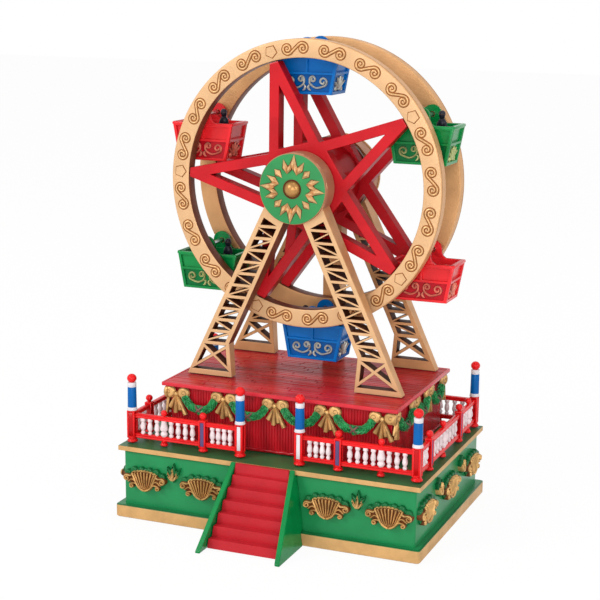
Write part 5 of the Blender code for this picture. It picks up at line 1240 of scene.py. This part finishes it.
def cast_kite(piece, root, tip, width, tall, place):
    """A kite from its root to its tip with a raised ridge, over a flat brown edge of painted shadow."""
    root, tip = Vector(root), Vector(tip)
    along, middle = (tip - root).normalized(), root.lerp(tip, 0.42)
    for grow, rise, name in ((KITE_SHADOW_EDGE, 0.00010, "shadow_brown"), (0.0, tall, "scroll_gold")):
        side = Vector((-along.y, along.x)) * (width + grow) / 2
        outline = anticlockwise([tuple(p) for p in (root, middle - side, tip, middle + side)])
        lifted = toward(outline, middle, 0.62) if grow == 0.0 else toward(
            outline, sum((Vector(p) for p in outline), Vector((0, 0))) / 4, 0.1)
        loops = ((outline, -0.0002), (outline, 0.00012), (lifted, rise))
        piece.add(stacked([[(u, v, FRONT_CAP_Z[1] + z) for u, v in loop] for loop, z in loops]), name, place)


# %% Front cap
cap = Piece("cap_green", "ball_gold", "scroll_gold", "shadow_brown", "drum_shade_rose")
low, high = FRONT_CAP_Z
for profile, name in (([(-CAP_RADIUS, low - high), (-0.0003, low - high), (0, low - high + 0.0003), (0, -0.0005),
                        (-0.00025, -0.00015), (-0.0006, -0.0001), (-CAP_RADIUS, -0.0001)], "drum_shade_rose"),
                      ([(-0.0010, -0.0003), (-0.0004, -0.0003), (-0.0003, -0.0001), (-0.0006, 0), (-CAP_RADIUS, 0)],
                       "cap_green")):
    cap.add(turned([(CAP_RADIUS + r, high + z) for r, z in profile], 64), name, WHEEL_PLACE)
for quarter_turn in range(4):
    place = WHEEL_PLACE @ Matrix.Rotation(-math.pi / 2 * quarter_turn, 4, "Z")
    for root, tip, width in CROWN:
        cast_kite(cap, root, tip, width, 0.00110, place)
    diagonal = Vector((math.cos(math.radians(45)), math.sin(math.radians(45))))
    cast_kite(cap, diagonal * 0.0106, diagonal * 0.0060, 0.0026, 0.00100, place)
rim = BALL_RADIUS + 0.0005
# A dark brown ring round the ball's foot: painted shadow.
cap.add(turned([(0.0, high - 0.0003), (rim, high - 0.0003), (rim, high + 0.0001), (0.0, high + 0.0001)], 32),
        "shadow_brown", WHEEL_PLACE)
ball = [(BALL_RADIUS * math.cos(a), high - 0.0008 + BALL_RISE * math.sin(a))
        for a in [math.radians(-10 + 10 * k) for k in range(10)]]
cap.add(turned([(0.0, high - 0.0003)] + ball + [(0.0, high - 0.0008 + BALL_RISE)], 32), "ball_gold", WHEEL_PLACE)
cap.build("front_hub_cap_cast", "base", ("front_hub_cap",), sharp=25)

# %% Rear cap
low, high = REAR_CAP_Z
plain = Piece("rear_shade_gold", "joint_and_shade_brown")
# The rear cap in the deeper rear gold: painted shade.
plain.add(turned([(r, low + z) for r, z in mm([(0, 0), (3.6, 0), (4.2, 0.3), (4.6, 0.6), (11.8, 0.6), (12.4, 0.2),
                                               (13.0, 0), (16.0, 0), (16.7, 0.2), (17.0, 0.5)])]
                 + [(REAR_CAP_RADIUS, high - 0.0002), (REAR_CAP_RADIUS - 0.0002, high), (0.0, high)], 64),
          "rear_shade_gold", WHEEL_PLACE)
plain.build("rear_hub_cap_turned", "base", ("rear_hub_cap",), sharp=35)

# %% [markdown]
# ## The gondolas
# Six open tubs hang from the rods.  Each one is a hollow, flared box with a raised frame on every side: two
# plain panels above, and below them a panel in a darker tone, painted shade, with four curls and a small drop.
# At each end wall a plume of leaves stands below a plain panel.  The curls, drops and leaves lie on wider dark
# lines of painted shade.  A frame with openings is one plate whose rim and openings all have rounded upper
# edges; its flat top is filled by tessellation, which copes with the openings.

# %% The tub
TUB_TOP, TUB_FOOT = -0.0032, -0.0186
HALF_TOP, HALF_FOOT, HALF_DEEP = 0.0136, 0.0107, 0.0080
TUB_SLOPE = (HALF_TOP - HALF_FOOT) / (TUB_TOP - TUB_FOOT)
FRAME_THICK = 0.0009
FRAME_BACK = -FRAME_THICK - 0.0001
BORDER, FRAME_EDGE = 0.0014, 0.00026
UPPER_PANEL, LOWER_PANEL = (-0.0098, -0.0048), (-0.0175, -0.0108)
CENTRE_BAR = -0.0005


def half_length(z):
    return HALF_FOOT + (z - TUB_FOOT) * TUB_SLOPE


def flared(low, high, border=0.0):
    """The outline of a long wall between two heights, inside a border."""
    x_low, x_high = half_length(low) - border, half_length(high) - border
    return [(-x_low, low), (x_low, low), (x_high, high), (-x_high, high)]


def hollow_tub():
    """The plain hollow box behind the frames."""
    thick = FRAME_THICK + 0.0009
    loops = []
    for inset, z in ((FRAME_THICK + 0.0003, TUB_FOOT), (FRAME_THICK, TUB_FOOT + 0.0003),
                     (FRAME_THICK, TUB_TOP - 0.0002), (thick, TUB_TOP - 0.0002), (thick, TUB_FOOT + 0.0012)):
        x, y = half_length(z) - inset, HALF_DEEP - inset
        loops.append([(u, v, z) for u, v in rectangle((-x, x), (-y, y))])
    return stacked(loops)


# %% Curls, drops and plumes
OUTER_CURL = spiral((0.0068, -0.01345), 0.00045, 0.00190, 390, -90, 26)
INNER_CURL = spiral((0.0025, -0.01265), 0.00140, 0.00035, 200, -280, 24)
CURLS = OUTER_CURL + smooth_path([OUTER_CURL[-1], *mm([(5.5, -15.8), (4.0, -16.0), (2.4, -15.3), (1.3, -14.2)]),
                                  INNER_CURL[0]], 3)[1:] + INNER_CURL[1:]
DROP = smooth_path(mm([(1.1, -14.8), (0.6, -15.6), (1.0, -16.5), (1.7, -17.0)]), 4)
PLUME_CURL = spiral((0.0026, -0.0135), 0.0012, 0.0003, -150, 300, 18)
PLUME_FOOT = -0.0141
PLUME_LEAVES = mm([(0, 5.6), (2.1, 5.1), (-2.1, 5.1), (4.1, 3.6), (-4.1, 3.6)])


def swelling(path, least, most):
    """A width that grows towards the middle of a path."""
    count = len(path)
    return [least + (most - least) * math.sin(math.pi * (i + 1) / (count + 1)) for i in range(count)]


def ornament(piece, ridge, line, place):
    """The four curls with their drops on the lower panel, each over a wider dark line of painted shade."""
    level = -FRAME_THICK + 0.00007
    for side in (-1, 1):
        path, drop = flipped(CURLS, side), flipped(DROP, side)
        piece.add(bead(path, 0.00126, 0.00014, level, 0.03, 4), line, place)
        piece.add(bead(path, 0.00082, 0.00080, level, 0.04), ridge, place)
        piece.add(fold(drop, swelling(drop, 0.0006, 0.0014), [0.00014] * len(drop), level, 5), line, place)
        piece.add(fold(drop, swelling(drop, 0.0003, 0.0010), swelling(drop, 0.0005, 0.0008), level, 6), ridge, place)


def plume(piece, ridge, line, place):
    """The fan of leaves on an end wall, with a curl at each side of its foot."""
    for lean, tall in PLUME_LEAVES:
        path = smooth_path([(lean * out, PLUME_FOOT + tall * up) for out, up in (
            (0.0, 0.0), (0.45, 0.42), (0.95, 0.80), (1.25, 1.0))], 4)
        # A wider dark line under each leaf: painted shade.
        piece.add(fold(path, swelling(path, 0.0009, 0.0018), [0.00012] * len(path), -FRAME_THICK, 5), line, place)
        piece.add(fold(path, swelling(path, 0.0002, 0.00084), [0.00080] * len(path), -FRAME_THICK, 6), ridge, place)
    for side in (-1, 1):
        piece.add(bead(flipped(PLUME_CURL, side), 0.00060, 0.00070, -FRAME_THICK, 0.06), ridge, place)


# %% Lugs
LUG_OUT, ROD_HOLE, LUG_BOSS = 0.0038, 0.0012, 0.0020


def lug_outline(grow):
    """A half-round ear on a flared neck."""
    radius = LUG_OUT + grow
    neck = [(-radius, -0.0010)] + [(u - grow, v) for u, v in mm([(-4.3, -2.1), (-5.2, -2.9), (-6.0, -3.4),
                                                                 (-6.0, -4.0)])]
    return spiral((0, 0), radius, radius, 0, 180, 21) + neck + flipped(neck[::-1])


def lug(piece, name, place):
    hole = oval((0, 0), ROD_HOLE, ROD_HOLE, 20)
    for outline, opening, low, high, edge in (
            (lug_outline(0.0), hole, -0.0011, -0.00018, 0.00025),
            (lug_outline(0.0), lug_outline(-0.0007), -0.0009, 0.0, 0.00018),
            (oval((0, 0), LUG_BOSS, LUG_BOSS, 20), hole, -0.0009, 0.0, 0.00015)):
        piece.add(pierced_slab(outline, [opening], low, high, edge), name, place)


# %% Passengers
RIDER_SEAT, RIDER_LEAN = 0.0062, 0.05
COAT = mm([(0, -16.0), (1.7, -16.0), (1.7, -10.0), (1.65, -5.2), (1.86, -3.0), (1.90, -2.0), (1.66, -1.2),
           (1.22, -0.7), (0.98, -0.4), (0.92, -0.1), (0, -0.1)])
HEAD = mm([(0, -0.60), (0.70, -0.45), (1.04, 0), (1.28, 0.70), (1.36, 1.40), (1.26, 2.00), (0.98, 2.48),
           (0.54, 2.76), (0, 2.85)])
BRIM = mm([(0, 1.22), (1.30, 1.22), (1.46, 1.30), (1.46, 1.46), (1.26, 1.56), (0, 1.56)])
SLEEVE = smooth_path(mm([(1.40, 0, -1.8), (1.60, -0.6, -4.0), (1.45, -2.2, -6.0), (0.70, -3.4, -6.0)]), 3)
LAP = smooth_path(mm([(0, 0, -8.2), (0, -2.4, -7.8), (0, -4.4, -8.6)]), 3)


def passenger(piece, side):
    """A plain seated figure: coat, arms on the lap, neck and head with a close cap."""
    spot = at(side * RIDER_SEAT, 0.0, -0.0006, Matrix.Rotation(RIDER_LEAN * side, 4, "X"))
    piece.add(turned(COAT, 18), "rider_dark", spot @ Matrix.Diagonal((0.96, 0.74, 1.0, 1.0)))
    piece.add(turned(HEAD, 18), "rider_dark", spot)
    piece.add(turned(BRIM, 18), "rider_brown", spot)
    for hand in (-1, 1):
        piece.add(tube(flipped(SLEEVE, hand), 0.00058), "rider_dark", spot)
    piece.add(tube(LAP, 0.00150, 10, 0.7), "rider_dark", spot)


# %% Six gondolas
LIP_PROUD, LIP_WITHIN = 0.00012, 0.0017


def gondola_place(number):
    """The middle of a gondola: its rod's axis, half way between the rims."""
    low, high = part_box(f"gondola_rod_{number}")
    return (low + high) / 2


def lip_outline(grow, radius):
    x, y = HALF_TOP + grow, HALF_DEEP + grow
    return rounded_rectangle((-x, x), (-y, y), radius)


def gondola(number, colour, ridge, seats):
    tub, panel_shade_paint, line = "gondola_" + colour, "panel_" + colour, "outline_" + colour
    piece = Piece(tub, panel_shade_paint, line, ridge, "rider_dark", "rider_brown")
    piece.add(hollow_tub(), tub)
    low, high = UPPER_PANEL
    upper = [(BORDER - half_length(low), low), (CENTRE_BAR, low), (CENTRE_BAR, high),
             (BORDER - half_length(high), high)]
    lower = flared(*LOWER_PANEL, BORDER)
    for out in (-1, 1):
        place = facing((0, out * HALF_DEEP, 0), (-out, 0, 0), UPWARD, (0, out, 0))
        piece.add(pierced_slab(flared(TUB_FOOT, TUB_TOP), [upper, flipped(upper), lower], FRAME_BACK, 0.0,
                               FRAME_EDGE, 0.00045), tub, place)
        # The lower panel's floor in the darker tone: painted shade in the recess.
        piece.add(slab(lower, FRAME_BACK, -FRAME_THICK + 0.00012), panel_shade_paint, place)
        ornament(piece, ridge, line, place)
        lug(piece, tub, place)
    slant = Vector((TUB_SLOPE, 0, 1)).normalized()
    tall = (TUB_TOP - TUB_FOOT) / slant.z
    wide = HALF_DEEP - FRAME_THICK - 0.00005
    inner = HALF_DEEP - BORDER
    panels = [rectangle((-inner, inner), z) for z in ((-0.0067, -0.0016), (0.0013 - tall, -0.0078))]
    for out in (-1, 1):
        across, upward = Vector((0, out, 0)), Vector((out * slant.x, 0, slant.z))
        place = facing((out * HALF_TOP, 0, TUB_TOP), across, upward, across.cross(upward))
        piece.add(pierced_slab(rectangle((-wide, wide), (-tall, 0)), panels, FRAME_BACK, 0.0, FRAME_EDGE, 0.0), tub,
                  place)
        plume(piece, ridge, line, place)
    piece.add(pierced_slab(lip_outline(LIP_PROUD, 0.0006), [lip_outline(-LIP_WITHIN, 0.0004)], TUB_TOP - 0.0010,
                           TUB_TOP, 0.00045, steps=3), tub)
    for side in seats:
        passenger(piece, side)
    middle = gondola_place(number)
    piece.points = [middle + p for p in piece.points]
    piece.build(f"gondola_{number}_tub", f"gondola_{number}", (f"gondola_{number}",), sharp=40)


for colour, ridge, numbers in (("blue", "scroll_silver", (1, 4)), ("red", "scroll_rose", (2, 5)),
                               ("green", "scroll_pale", (3, 6))):
    for number in numbers:
        gondola(number, colour, ridge, (-1,) if number == 5 else (-1, 1))
